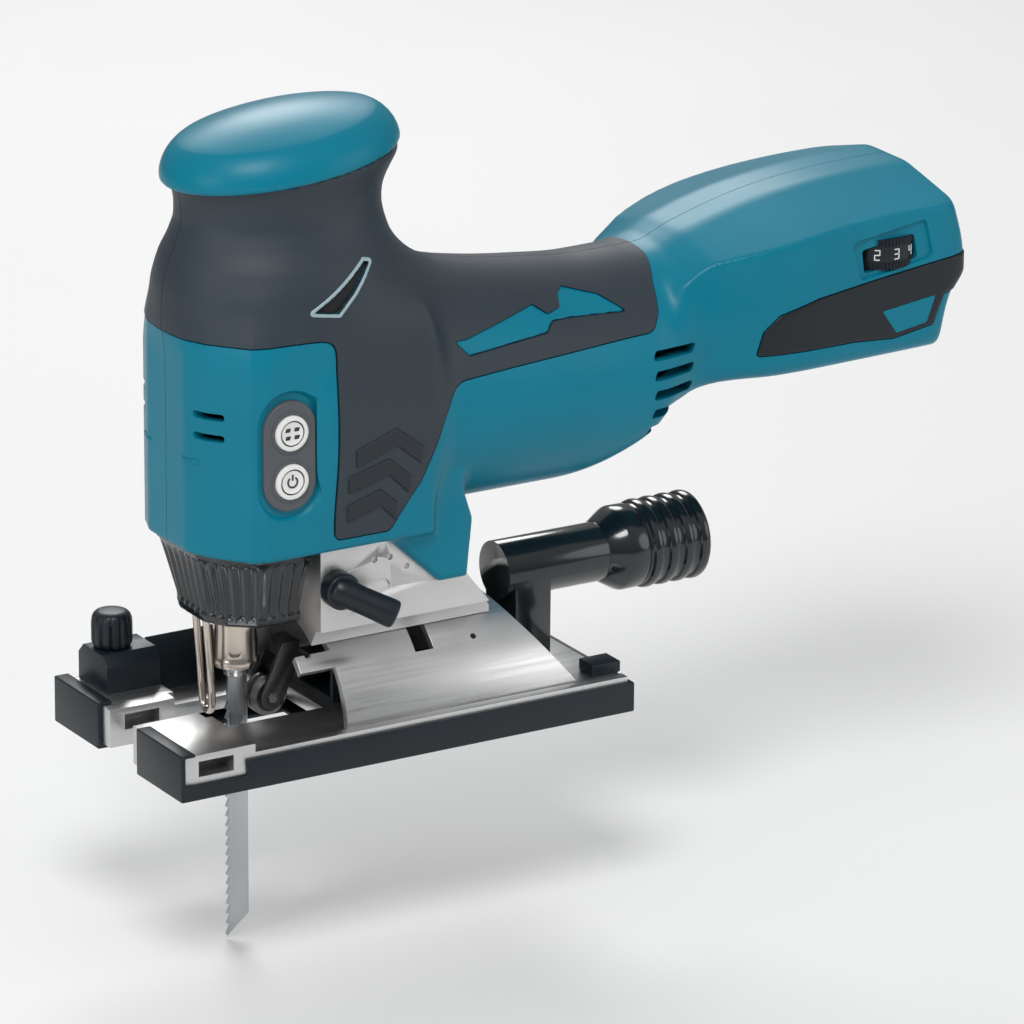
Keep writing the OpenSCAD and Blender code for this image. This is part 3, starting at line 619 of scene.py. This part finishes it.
def build_halves():
    """The hollow body halves and the rubber skins over them, left first; each right one is mirrored."""
    low, high = (-62, -38, 44), (196, 3, 178)
    shell = mesh_from_field("left_body_shell", body_field, low, high, FINE)
    core = mesh_from_field("core", body_field, low, high, FINE * 1.5, iso=UNDER)
    room = mesh_from_field("room", body_field, low, high, 2.5, iso=INSIDE, refine=1)
    grip = mesh_from_field("left_soft_grip", body_field, low, high, FINE, iso=PROUD)
    half = prism("half", [(-90, 30), (230, 30), (230, 200), (-90, 200)], "y", -70, SEAM)
    outline = rounded(RUBBER_ZONE, RUBBER_CORNERS, 6)
    zone = prism("zone", shrunk(outline, 0.25), "y", -60, 20)
    wide = prism("wide_zone", shrunk(outline, -0.25), "y", -60, 20)
    paint(grip, RUBBER)
    for cutter in (half, zone, core):
        paint(cutter, RUBBER)
    boolean(grip, half, "INTERSECT", keep=True)
    boolean(grip, zone, "INTERSECT")
    boolean(grip, core, keep=True)
    boolean(wide, core, keep=True)
    boolean(paint(shell, TEAL), paint(half, TEAL), "INTERSECT")
    boolean(shell, paint(wide, TEAL_DARK))

    # Openings of the shell, their cut faces near-black as painted shade
    cuts = [prism("rod_hole", arc_points((ROD_X, 0), 10, 0, 350, 35), "z", 55, 75)]
    for i in range(5):
        z = 78.9 + 5.85 * i
        slot = rounded([(84.4, z), (99.2, z), (100.4, z + 3), (85.6, z + 3)], 1.1, 3)
        cuts.append(prism("vent", slot, "y", -40, -12))
    for z in (98.2, 104.4):
        slot = rounded([(-14, z), (-14, z + 2.1), (-23, z + 2.1), (-23, z)], 1.0, 4)
        cuts.append(prism("front_slot", slot, "x", -64, -47))
    bay = rounded([(-28.6, 60), (28.6, 60), (28.6, 100), (-28.6, 100)], 1.5)
    cuts.append(prism("bay", bay, "x", 133, 230))
    for cut in cuts:
        paint(cut, SHADE_BLACK)
    panel_shell = prism("panel_room", shrunk(rounded(SIDE_PANEL, 1.0), -0.3), "y", -60, -20)
    boolean(panel_shell, core, keep=True)
    boolean(shell, joined("dark_cuts", cuts))
    boolean(shell, paint(panel_shell, TEAL_DARK))
    # Openings of the rubber, which show the shell or the inside; the triangle's cut faces and the inside of
    # the walls are near-black painted shade
    arrow = prism("arrow", rounded(ARROW, 0.8, 3), "y", -60, -10)
    hole = prism("triangle", rounded(TRIANGLE, 0.7, 3), "y", -60, -16)
    boolean(grip, paint(arrow, RUBBER))
    boolean(grip, paint(hole, SHADE_BLACK))
    # The inside of the walls, near-black as painted shade
    boolean(shell, paint(room, SHADE_BLACK))
    # Room for the top of the blade rod at full stroke, its walls near-black as painted shade
    rod_top = paint(prism("rod_top", arc_points((ROD_X, 0), 6.0, 0, 350, 35), "z", 150, 190), SHADE_BLACK)
    boolean(grip, rod_top, keep=True)
    boolean(shell, rod_top)
    bpy.data.objects.remove(core)
    right_shell, right_rubber = mirrored(shell, "right_body_shell"), mirrored(grip, "right_soft_grip")

    # Only on the left: the dish round the keys, their holes, and the window of the speed wheel
    recess = rounded(WINDOW_RECESS, 1.6)
    for cut in (taper("dish", stadium(PAD, 39.5, 22.5), stadium(PAD, 36.5, 19.5), -31.9, -29.9),
                taper("window_dish", shrunk(recess, -0.8), recess, -36.6, -34.3)):
        boolean(shell, paint(cut, TEAL))
    holes = [prism("window", rounded(WINDOW, 1.2), "y", -60, -30)]
    holes += [prism("key_hole", arc_points((KEY_X, z), 6.6, 0, 350, 35), "y", -34, -20) for z in KEY_Z]
    # The cut faces of the key holes and the window are near-black painted shade
    boolean(shell, paint(joined("left_holes", holes), SHADE_BLACK))
    # Only on the right: the wells of the screws
    wells = [prism("well", arc_points((x, z), 3.15, 0, 350, 35), "y", y + 0.05, 60) for x, z, y in SCREWS]
    wells = paint(joined("wells", wells), TEAL_DARK)
    boolean(right_rubber, wells, keep=True)
    boolean(right_shell, wells)
    return [clean(piece, 38) for piece in (shell, grip, right_shell, right_rubber)]


left_body, left_grip, right_body, right_grip = build_halves()
finish_piece(left_body, "tool", "left_housing")
finish_piece(right_body, "tool", "right_housing")
finish_piece(left_grip, "tool", "left_overmould", slot="rubber_grip")
finish_piece(right_grip, "tool", "right_overmould", slot="rubber_grip")


def seam_tongue():
    """The lip inside the joint line of the two halves, which closes it to light."""
    def field(x, y, z):
        d = body_field(x, y, z)
        d = np.maximum(np.maximum(d + 0.9, -2.7 - d), np.abs(y) - 0.5)
        d = np.maximum(np.maximum(d, z - 160), 70 - z)
        return np.maximum(d, np.minimum(x - 131, 101.5 - z))
    lip = mesh_from_field("seam_lip", field, (-62, -1.4, 66), (196, 1.4, 162), GRAIN * 1.5, refine=0)
    finish_piece(paint(clean(lip, 50), TEAL_DARK), "tool", slot="teal_plastic")


def both_sides(obj, material_slot, *cad_pair):
    """Finishes a left piece and its mirror image."""
    twin = mirrored(obj, obj.name.replace("left", "right"))
    finish_piece(obj, "tool", *cad_pair[:1], slot=material_slot)
    finish_piece(twin, "tool", *cad_pair[1:], slot=material_slot)


def side_trim():
    """What lies on both sides: panel, badge, inlay, vent, grip steps and the blade's direction."""
    panel = patch("left_side_panel_skin", rounded(SIDE_PANEL, 0.8), 0.35, BLACK,
                  (115, -38, 95), (196, -22, 124), 1.1)
    both_sides(panel, "grey_plastic", "left_side_panel", "right_side_panel")
    badge = patch("left_badge", rounded(BADGE, 0.6), 0.75, TEAL, (157, -38, 97), (181, -30, 112), 0.8, 0.4)
    twin = mirrored(badge, "right_badge")
    finish_piece(joined("side_badge_pair", [badge, twin]), "tool", "side_badges")
    arrow = patch("left_arrow_inlay", rounded(shrunk(ARROW, 0.2), 0.8, 3), -0.1, TEAL,
                  (16, -34, 110), (84, -14, 128), 1.4, 0.3)
    both_sides(arrow, "teal_plastic")
    # A raised rim round the triangular vent, coloured pale as a painted highlight on its edge
    rim = patch("left_vent_rim", None, 0.55, VENT_RIM_HIGHLIGHT, (-31, -36, 130), (-3, -18, 149), 1.0, 0.3,
                lambda x, z: np.abs(polygon_distance(x, z, TRIANGLE) - 0.5) - 0.5)
    both_sides(rim, "teal_plastic")
    # A near-black sheet just under the triangular vent: painted shade for the dark opening
    floor = patch("left_vent_floor", rounded(TRIANGLE, 0.7, 3), -0.7, SHADE_BLACK,
                  (-31, -36, 130), (-3, -18, 149), 0.8, 0.2)
    both_sides(floor, "black_plastic")
    # Three steps below one another in the rubber, each an upturned V, coloured darker than the rubber as
    # painted shade below each fold
    steps = [((-15.6, 93.2), (-2.4, 98.0), (6.6, 91.0)), ((-17.6, 85.4), (-4.4, 89.2), (3.2, 82.4)),
             ((-17.4, 76.6), (-6.6, 80.0), (-0.8, 75.0))]
    for i, (a, b, c) in enumerate(steps):
        drop = 5.4
        outline = [a, b, c, (c[0] - 0.6, c[1] - drop), (b[0], b[1] - drop), (a[0] + 0.3, a[1] - drop)]
        step = patch(f"left_grip_step_{i}", outline, 0.95, RUBBER_STEP_SHADE,
                     (-20, -35, 66), (10, -27, 100), 1.0, 0.9)
        both_sides(step, "rubber_grip")
    mark = [(-1.2, 0.35), (-1.2, 1.0), (1.6, 0), (-1.2, -1.0), (-1.2, -0.35), (-6.4, -0.35), (-6.4, 0.35)]

    def arrow_mark(y, z):
        return polygon_distance(-(y + 15.4), z - 91.4, mark)

    def raised(x, y, z):
        d = body_field(x, y, z)
        return smax(smax(d - 0.35, arrow_mark(y, z), 0.3), -0.4 - d, 0.2)
    arrow = mesh_from_field("left_blade_direction_mark", raised, (-60, -22, 88), (-50, -7, 95), GRAIN * 0.75)
    both_sides(paint(clean(arrow, 50), TEAL), "teal_plastic")


side_trim()
seam_tongue()


def build_cap():
    """The oval cap of the knob: rim, sloped shoulder, crease and shallow dome."""
    # Half length, half width and height of each ring
    rows = [(34.6, 25.6, 0.05), (35.5, 26.5, 0.25), (35.95, 26.95, 0.9), (36.0, 27.0, 1.7), (35.7, 26.7, 3.4),
            (35.0, 26.0, 5.2), (34.0, 25.0, 6.9), (32.7, 23.7, 8.5), (31.3, 22.4, 9.7), (30.3, 21.5, 10.35),
            (29.6, 20.9, 10.6), (27, 19, 11.3), (23, 16, 12.2), (18, 12.6, 13.2), (12, 8.4, 14.0),
            (6, 4.2, 14.5), (0.6, 0.4, 14.62)]
    count = 96
    turn = Matrix.Rotation(-CAP_TILT, 3, "Y")
    points = []
    for a, b, h in rows:
        for j in range(count):
            t = 2 * math.pi * j / count
            p = turn @ Vector((a * math.cos(t), b * math.sin(t), h))
            points.append((p.x + CAP_X, p.y, p.z + CAP_Z))
    cap = clean(mesh_object("knob_cap_dome", points, ring_faces(len(rows), count)), 40)
    finish_piece(paint(cap, TEAL), "tool", "knob_cap")


build_cap()

# ---- keys, dial, screws


def ring_profile(r_in, r_out, low, high, round_by=0.3):
    """Cross-section of a rounded ring, as (along, radius)."""
    return rounded([(low, r_in), (high, r_in), (high, r_out), (low, r_out)], round_by, 4)


def build_keys():
    """The grey pad and the two round keys in it, each with its printed sign."""
    pad = prism("key_pad", stadium(PAD, 32.4, 16.6, 20), "y", -31.55, -29.5, 0.55, 4)
    rims = [lathe("key_rim", ring_profile(5.35, 6.2, -31.9, -31.3, 0.25), "y", (KEY_X, 0, z)) for z in KEY_Z]
    for z in KEY_Z:
        boolean(pad, prism("hole", arc_points((KEY_X, z), 5.35, 0, 355, 71), "y", -34, -25))
    finish_piece(paint(joined("key_pad_surface", [clean(pad, 40)] + rims), GREY), "tool", "button_panel")
    cap = [(-26.4, 0.0), (-32.2, 0.0), (-32.3, 2.0), (-32.5, 3.0), (-32.6, 3.3), (-32.2, 3.45), (-32.2, 3.75),
           (-32.7, 3.9), (-32.75, 4.6), (-32.55, 5.0), (-32.1, 5.2), (-28.2, 5.2), (-28.2, 6.3), (-27.0, 6.3),
           (-27.0, 5.2), (-26.4, 5.2)]
    for name, z in (("power", KEY_Z[1]), ("mode", KEY_Z[0])):
        key = paint(lathe(f"{name}_key_cap", cap, "y", (KEY_X, 0, z), 72), WHITE)
        marks = [lathe("ring_line", ring_profile(3.4, 3.8, -32.35, -32.0, 0.05), "y", (KEY_X, 0, z), 72)]
        if name == "power":
            arc = arc_points((KEY_X, z), 1.75, 125, 415, 30) + arc_points((KEY_X, z), 1.25, 415, 125, 30)
            marks.append(prism("arc", arc, "y", -32.42, -32.12))
            low, high = KEY_X - 0.25, KEY_X + 0.25
            bar = [(low, z + 0.5), (high, z + 0.5), (high, z + 2.3), (low, z + 2.3)]
            marks.append(prism("bar", rounded(bar, 0.2), "y", -32.42, -32.1))
        else:
            for k in range(4):
                u, v = KEY_X + 1.45 * (-1) ** k, z + (1.15 if k < 2 else -1.15)
                shape = [(u - 0.95, v - 0.55), (u + 0.6, v - 0.55), (u + 0.95, v + 0.55), (u - 0.6, v + 0.55)]
                marks.append(prism("tile", rounded(shape, 0.25), "y", -32.44, -32.1))
        for mark in marks:
            paint(mark, DARK_INK)
        finish_piece(joined(f"{name}_key_top", [key] + marks), f"{name}_key", f"{name}_button")


SEGMENTS = {"1": "bc", "2": "abged", "3": "abgcd", "4": "fgbc", "5": "afgcd", "6": "afgedc"}
# Middle, length along the rim and height of each stroke of a number
STROKES = {"a": (0, 1.45, 1.5, 0.32), "g": (0, 0, 1.5, 0.32), "d": (0, -1.45, 1.5, 0.32),
           "b": (0.75, 0.73, 0.32, 1.6), "c": (0.75, -0.73, 0.32, 1.6),
           "f": (-0.75, 0.73, 0.32, 1.6), "e": (-0.75, -0.73, 0.32, 1.6)}


def build_dial():
    """The speed wheel: a knurled drum with raised numbers round its rim."""
    cx, cy, cz = 164.0, -25.3, 124.0
    teeth, outline = 60, []
    for i in range(teeth):
        for s, r in ((0.0, 10.95), (0.3, 10.95), (0.5, 10.55), (0.8, 10.55)):
            a = 2 * math.pi * (i + s) / teeth
            outline.append((cx + r * math.cos(a), cy + r * math.sin(a)))
    drum = prism("drum", outline, "z", cz - 4.5, cz - 2.4)
    top = prism("drum_top", outline, "z", cz + 2.4, cz + 4.5)
    band = lathe("band", ring_profile(2.0, 10.7, -2.5, 2.5, 0.2), "z", (cx, cy, cz), 96)
    parts = [paint(p, BLACK) for p in (drum, top, band)]
    for index, digit in enumerate("123456"):
        turn = math.radians(-90 + (index - 2) * 32)
        c, s = math.cos(turn), math.sin(turn)
        for name in SEGMENTS[digit]:
            u, v, w, h = STROKES[name]
            v += cz
            w, h = w / 2, h / 2
            corners = [(u - w, v - h), (u + w, v - h), (u + w, v + h), (u - w, v + h)]
            points = [(cx + r * c - k * s, cy + r * s + k * c, z) for r in (10.5, 10.85) for k, z in corners]
            stroke = fix_normals(mesh_object("stroke", points, side_faces(4), smooth=False))
            parts.append(paint(stroke, INK))
    finish_piece(joined("speed_wheel", parts), "dial", "speed_dial")


def build_screws():
    """Screws with domed heads and a six-lobed socket, seen in their wells on the right."""
    parts = []
    for x, z, y in SCREWS:
        shank = [(-y + 2, 0), (-y + 2, 1.55), (y + 0.2, 1.55), (y + 0.2, 0)]
        parts.append(paint(lathe("shank", shank, "y", (x, 0, z), 24), SCREW))
        dome = [(y + 0.1, 0), (y + 0.1, 2.85), (y + 1.6, 2.85), (y + 2.4, 1.9), (y + 2.4, 0)]
        head = lathe("head", rounded(dome, [0, 0.2, 0.4, 0.4, 0], 4), "y", (x, 0, z), 40)
        lobes = []
        for k in range(48):
            turn = 2 * math.pi * k / 48
            r = 1.15 + 0.28 * math.cos(6 * turn)
            lobes.append((x + r * math.cos(turn), z + r * math.sin(turn)))
        # The six-lobed socket, its cut faces near-black as painted shade
        boolean(paint(head, SCREW), paint(prism("socket", lobes, "y", y + 1.2, y + 4), SHADE_BLACK))
        parts.append(clean(head, 35))
    finish_piece(joined("housing_screw_set", parts), "tool", "housing_screws")


build_keys()
build_dial()
build_screws()

# ---- nose: shroud, clamp, blade, guard, roller


def along(points, count):
    """An open path resampled to evenly spaced points."""
    points = [Vector(p) for p in points]
    lengths = [0.0]
    for a, b in zip(points, points[1:]):
        lengths.append(lengths[-1] + (b - a).length)
    out, k = [], 0
    for i in range(count):
        s = lengths[-1] * i / (count - 1)
        while k < len(lengths) - 2 and lengths[k + 1] < s:
            k += 1
        t = (s - lengths[k]) / (lengths[k + 1] - lengths[k])
        out.append(points[k].lerp(points[k + 1], min(1, t)))
    return out


def build_shroud():
    """The clear-black fluted skirt between the head and the blade."""
    top = and_mirrored([(-26.2, -27.8), (-41.6, -27.8), (-51.5, -18.9), (-55.2, -12)])
    low = and_mirrored([(-26.2, -20), (-39, -20), (-46.5, -14), (-50.2, -7)])
    count = 361

    def path(points, r):
        inner = rounded(points, [0, r, r, r, r, r, r, 0], 6)
        start, end = inner.index(points[0]), inner.index(points[-1])
        return along(inner[start:end + 1] if start < end else inner, count)
    upper, lower = path(top, 4.0), path(low, 3.0)
    # Height, inset and depth of the flutes
    levels = [(62.8, 0.0, 0), (61.4, 0.0, 0), (60.9, 0.5, 0), (59.5, 0.55, 0.4), (57.5, 0.6, 1), (53, 0.6, 1),
              (48, 0.6, 1), (44.5, 0.6, 1), (43.2, 0.5, 0.4), (42.5, 0.05, 0), (41.0, 0.0, 0), (40.3, 0.15, 0),
              (40.02, 0.5, 0)]
    rows = []
    for inside in (False, True):
        for z, inset_by, flute in (reversed(levels) if inside else levels):
            t = (62.8 - z) / 22.8
            row = []
            for i in range(count):
                p = upper[i].lerp(lower[i], t)
                a, b = upper[max(i - 1, 0)], upper[min(i + 1, count - 1)]
                c, d = lower[max(i - 1, 0)], lower[min(i + 1, count - 1)]
                tangent = ((b - a) * (1 - t) + (d - c) * t).normalized()
                normal = Vector((tangent.y, -tangent.x))
                wave = 0.5 * (1 + math.cos(2 * math.pi * i / (count - 1) * 25))
                depth = 1.55 if inside else inset_by + 0.75 * flute * wave
                side = -1 if normal.dot(p - Vector((-20, 0))) > 0 else 1
                q = p + normal * side * depth
                row.append((q.x, q.y, z))
            rows.append(row)
    points = [p for row in rows for p in row]
    faces = []
    for r in range(len(rows)):
        s = (r + 1) % len(rows)
        for i in range(count - 1):
            faces.append((r * count + i, r * count + i + 1, s * count + i + 1, s * count + i))
    n = len(rows)
    faces.append(tuple(r * count for r in range(n)))
    faces.append(tuple(r * count + count - 1 for r in range(n - 1, -1, -1)))
    shroud = clean(fix_normals(mesh_object("fluted_shroud", points, faces)), 35)
    finish_piece(paint(shroud, GLOSS), "tool", "nose_shroud")


def build_clamp():
    """The quick-change sleeve with its flared foot, its front groove and the collar that grips the shank."""
    profile = [(23.3, 5.0), (23.0, 5.4), (23.0, 6.5), (23.4, 6.85), (24.4, 6.95), (25.4, 6.7), (26.2, 6.42),
               (34, 6.35), (38.6, 6.35), (39.2, 6.05), (39.8, 6.05), (40.4, 6.35), (40.9, 6.2), (41, 5.7),
               (41, 4.6), (23.3, 4.6)]
    sleeve = paint(lathe("sleeve", profile, "z", (ROD_X, 0, 0), 96), SLEEVE)
    to_rod = Matrix.Translation(Vector((ROD_X, 0, 0)) * MM)
    slot = rounded([(-1.9, 26.8), (1.9, 26.8), (1.9, 44), (-1.9, 44)], [1.8, 1.8, 0, 0], 6)
    groove = prism("groove", slot, "x", 4.9, 9)
    groove.data.transform(to_rod @ Matrix.Rotation(math.radians(-120), 4, "Z"))
    boolean(sleeve, paint(groove, BRASS_TINT))
    finish_piece(clean(sleeve, 32), "plunger", "clamp_sleeve")
    profile = [(19.6, 1.5), (19.4, 2.2), (19.5, 3.0), (20.0, 3.5), (22.6, 3.9), (24.4, 4.0), (24.4, 1.5)]
    collar = lathe("collar", profile, "z", (ROD_X, 0, 0), 64)
    slit = prism("slit", [(-5, -0.75), (5, -0.75), (5, 0.75), (-5, 0.75)], "z", 15, 30)
    slit.data.transform(to_rod)
    # The slit's cut faces are near-black painted shade
    boolean(paint(collar, STEEL), paint(slit, SHADE_BLACK))
    collar.name = "shank_collar"
    finish_piece(clean(collar, 32), "plunger", slot="bright_steel")


build_shroud()
build_clamp()
finish_piece(paint(from_cad("ground_blade", "blade", 0.14, 2), BLADE), "plunger", "blade")
fork = from_cad("roller_fork", "roller_bracket", 0.35, 3)
finish_piece(paint(fork, DARK_STEEL), "roller_arm", "roller_bracket")

# ---- bracket and lever


def build_bracket():
    """The cast bracket, with three dimples and the curved mark of the lever's scale."""
    bracket = paint(from_cad("bevel_bracket_casting", "bevel_bracket", 0.45, 3), ALUMINIUM)
    # Three dimples, their cut faces near-black as painted shade
    for x, z in ((-4.4, 56.2), (0.6, 56.2), (6.0, 52.6)):
        hole = paint(prism("dimple", arc_points((x, z), 0.95, 0, 342, 19), "y", -27, -24.2), SHADE_BLACK)
        boolean(bracket, hole)
    centre = (-3.2, 46.6)
    band = arc_points(centre, 4.2, 10, 75, 12) + arc_points(centre, 3.5, 75, 10, 12)
    boolean(bracket, paint(prism("scale_mark", band, "y", -25.4, -24.5), DARK_INK))
    finish_piece(clean(bracket, 40), "tool", "bevel_bracket")


def build_lever():
    """The short round lever that sets the orbital action."""
    start, end = Vector((-17, -29, 50)), Vector((-4, -37, 43))
    axis = (end - start).normalized()
    # Distance from the start and radius of each ring
    rows = [(-3.6, 2.6), (-3.2, 3.5), (-2.2, 4.1), (0, 4.2), (6, 4.1), (9, 4.15), (14.6, 4.2), (15.8, 4.1),
            (16.35, 3.7), (16.55, 3.1), (16.55, 0.1)]
    count = 40
    side = axis.cross(Vector((0, 0, 1))).normalized()
    rise = side.cross(axis)
    points = []
    for s, r in rows:
        for j in range(count):
            t = 2 * math.pi * j / count
            ridge = 1 - 0.05 * (0.5 + 0.5 * math.cos(10 * t)) * (2 < s < 14)
            p = start + axis * s + (side * math.cos(t) + rise * math.sin(t)) * r * ridge
            points.append(tuple(p))
    stick = clean(fix_normals(mesh_object("stick", points, ring_faces(len(rows), count))), 40)
    hub = lathe("hub", rounded([(-30, 0), (-30, 5.4), (-25.35, 5.4), (-25.35, 3.0), (-16.1, 3.0), (-16.1, 0)],
                               [0, 1.0, 0.2, 0.1, 0.2, 0], 5), "y", (-17, 0, 50), 48)
    finish_piece(paint(joined("orbital_lever_stick", [stick, hub]), BLACK), "orbit_lever", "orbital_lever")


build_bracket()
build_lever()

# ---- base and fence clamp


# Height of the bevel axis
BEVEL_Z = 6


def radial_hole(x, angle, radius):
    """A short cutter pointing at the bevel axis; its cut faces are near-black as painted shade."""
    hole = prism("hole", arc_points((0, 0), radius, 0, 340, 17), "x", 27, 36)
    hole.data.transform(Matrix.Rotation(math.radians(-90), 4, "Z"))
    hole.data.transform(Matrix.Rotation(-math.radians(angle), 4, "X"))
    hole.data.transform(Matrix.Translation(Vector((x, 0, BEVEL_Z)) * MM))
    return paint(hole, SHADE_BLACK)


def build_base():
    """The sole with its saddle, its cover, the block that clamps the fence, and the chip channel."""
    plate = paint(from_cad("base_plate_surface", "base_plate", 0.45, 3), PLATE)
    for side in (1, -1):
        for x, angle, r in ((-24.4, 48, 1.0), (28.6, 41, 0.9)):
            hole = radial_hole(x, angle, r)
            if side < 0:
                hole.data.transform(Matrix.Scale(-1, 4, Vector((0, 1, 0))))
                hole.data.flip_normals()
            boolean(plate, hole)
        low, high = sorted((side * 28.3, side * 29.7))
        # A groove along each rail, its cut faces coloured bright as a painted highlight line
        groove = rounded([(24, low), (58, low), (58, high), (24, high)], 0.6)
        boolean(plate, paint(prism("groove", groove, "z", 8.4, 12), GROOVE_HIGHLIGHT))
    finish_piece(clean(plate, 40), "base", "base_plate")
    for name, node, bevel, segments in (("sole_cover", "base_cover", 0.5, 3),
                                        ("fence_clamp_body", "fence_clamp_block", 0.7, 3),
                                        ("chip_channel", "dust_channel", 0.4, 2)):
        finish_piece(paint(from_cad(name, node, bevel, segments), BLACK), "base", node)


def build_knob():
    """The fluted clamp knob of the rip fence, with a domed top."""
    cx, cy = -61, 28
    count, lobes = 144, 12
    # Height of each ring, and its share of the full radius
    rows = [(24.45, 0.82), (24.6, 0.9), (25.2, 0.95), (26.0, 1.0), (31.4, 1.0), (32.8, 0.97), (33.8, 0.9),
            (34.5, 0.78), (34.85, 0.6), (34.95, 0.3), (34.98, 0.02)]
    points = []
    for z, k in rows:
        for j in range(count):
            t = 2 * math.pi * j / count
            cut = max(0.0, math.cos(lobes * t)) ** 2 * 0.75 * min(1, max(0, (33.5 - z) / 1.5))
            r = 6.0 * k - cut
            points.append((cx + r * math.cos(t), cy + r * math.sin(t), z))
    head = clean(mesh_object("head", points, ring_faces(len(rows), count)), 35)
    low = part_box("fence_clamp_screw")[0][2] / MM
    stem = lathe("stem", [(low, 0), (low, 2.6), (low + 0.4, 3.0), (25, 3.0), (25, 0)], "z", (cx, cy, 0), 40)
    finish_piece(paint(joined("fence_knob_grip", [head, stem]), BLACK), "fence_knob", "fence_clamp_screw")


build_base()
build_knob()

# ---- dust nozzle and cuff


def build_nozzle():
    """The dust pipe and its ribbed cuff, which ends where the CAD one does."""
    tube = from_cad("dust_pipe", "dust_nozzle", 0.5, 3)
    finish_piece(paint(tube, GLOSS), "nozzle", "dust_nozzle")
    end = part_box("hose_cuff")[1][0] / MM
    # Distances back from the end, with radii: the cone, four ribs, then the bore
    cone = [(32.8, 8.85), (32.2, 9.4), (27.6, 12.2), (26.6, 12.55), (22, 12.55), (21, 12.2)]
    rib = [(0, 12.05), (0.7, 12.2), (1.2, 12.9), (2.0, 13.2), (3.0, 13.2), (3.8, 12.9), (4.3, 12.2)]
    bore = [(0.3, 12.1), (0, 11.7), (0, 11.2), (0.3, 11.0), (21.0, 11.0), (21.0, 8.9)]
    ribs = [(end - 20.6 + 5.3 * i + s, r) for i in range(4) for s, r in rib]
    profile = [(end - s, r) for s, r in cone] + ribs + [(end - s, r) for s, r in bore]
    cuff = lathe("ribbed_cuff", profile, "x", (0, 0, 35.8), 96)
    finish_piece(paint(cuff, GLOSS), "nozzle", "hose_cuff")


build_nozzle()

# ---- stage, lights and camera


def build_stage():
    """The pale floor just below the blade's tip, and a soft surround."""
    r, z = 1500, -61
    corners = [(-r, -r, z), (r, -r, z), (r, r, z), (-r, r, z)]
    floor = mesh_object("floor", corners, [(0, 1, 2, 3)], smooth=False)
    s = Shader("pale_floor", (0.86, 0.86, 0.86), 0.6)
    s.link(s.ramp(s.noise(8.0), 0.55, 0.65), "Roughness")
    paint(floor, s.material)
    world = bpy.data.worlds.new("studio")
    bpy.context.scene.world = world
    world.use_nodes = True
    tree = world.node_tree
    background = tree.nodes["Background"]
    background.inputs["Strength"].default_value = 0.5
    # Bright overhead and dim near the horizon, so that metal and gloss have something to reflect
    direction = tree.nodes.new("ShaderNodeTexCoord")
    split = tree.nodes.new("ShaderNodeSeparateXYZ")
    ramp = tree.nodes.new("ShaderNodeValToRGB")
    tree.links.new(direction.outputs["Generated"], split.inputs["Vector"])
    tree.links.new(split.outputs["Z"], ramp.inputs["Fac"])
    for element, at, color in zip(ramp.color_ramp.elements, (0.0, 0.7), ((0.34, 0.36, 0.38, 1), (1, 1, 1, 1))):
        element.position, element.color = at, color
    tree.links.new(ramp.outputs["Color"], background.inputs["Color"])
    # Seen directly, it is plain and pale like the floor
    backdrop = tree.nodes.new("ShaderNodeBackground")
    backdrop.inputs["Color"].default_value = (0.9, 0.9, 0.9, 1)
    seen, mix = tree.nodes.new("ShaderNodeLightPath"), tree.nodes.new("ShaderNodeMixShader")
    tree.links.new(seen.outputs["Is Camera Ray"], mix.inputs[0])
    tree.links.new(background.outputs["Background"], mix.inputs[1])
    tree.links.new(backdrop.outputs["Background"], mix.inputs[2])
    tree.links.new(mix.outputs["Shader"], tree.nodes["World Output"].inputs["Surface"])


def area_light(name, position, target, size, power):
    data = bpy.data.lights.new(name, "AREA")
    data.shape, data.size, data.energy = "DISK", size, power
    light = placed(name, data)
    light.location = position
    light.rotation_euler = (Vector(target) - Vector(position)).to_track_quat("-Z", "Y").to_euler()


def build_camera():
    """A long lens, from the front left and a little above."""
    alpha, tilt, distance = math.radians(30.07), math.radians(18.17), 2.2
    aim = Vector((20, 0, 90)) * MM
    right = Vector((math.cos(alpha), -math.sin(alpha), 0))
    back = Vector((-math.sin(alpha) * math.cos(tilt), -math.cos(alpha) * math.cos(tilt), math.sin(tilt)))
    up = back.cross(right)
    data = bpy.data.cameras.new("camera")
    data.sensor_width = 36
    # The picture spans 0.1333 of the distance, with the aim point left of and above its middle
    data.lens = data.sensor_width / 0.13333
    camera = placed("camera", data)
    camera.matrix_world = Matrix((
        (right.x, up.x, back.x, 0), (right.y, up.y, back.y, 0), (right.z, up.z, back.z, 0), (0, 0, 0, 1)))
    camera.location = aim + back * distance
    data.shift_x, data.shift_y = 0.1045, -0.1003
    data.clip_start, data.clip_end = 0.05, 20
    bpy.context.scene.camera = camera


build_stage()
build_camera()
MIDDLE = (0.04, 0, 0.09)
area_light("key", (-0.55, -0.75, 1.25), MIDDLE, 0.55, 11)
area_light("side", (-1.2, -0.35, 0.45), MIDDLE, 0.5, 2.6)
area_light("fill", (1.1, -1.0, 0.45), MIDDLE, 0.9, 3.2)
area_light("rim", (0.5, 1.1, 0.9), MIDDLE, 0.6, 7)
bpy.context.scene.view_settings.view_transform = "Standard"
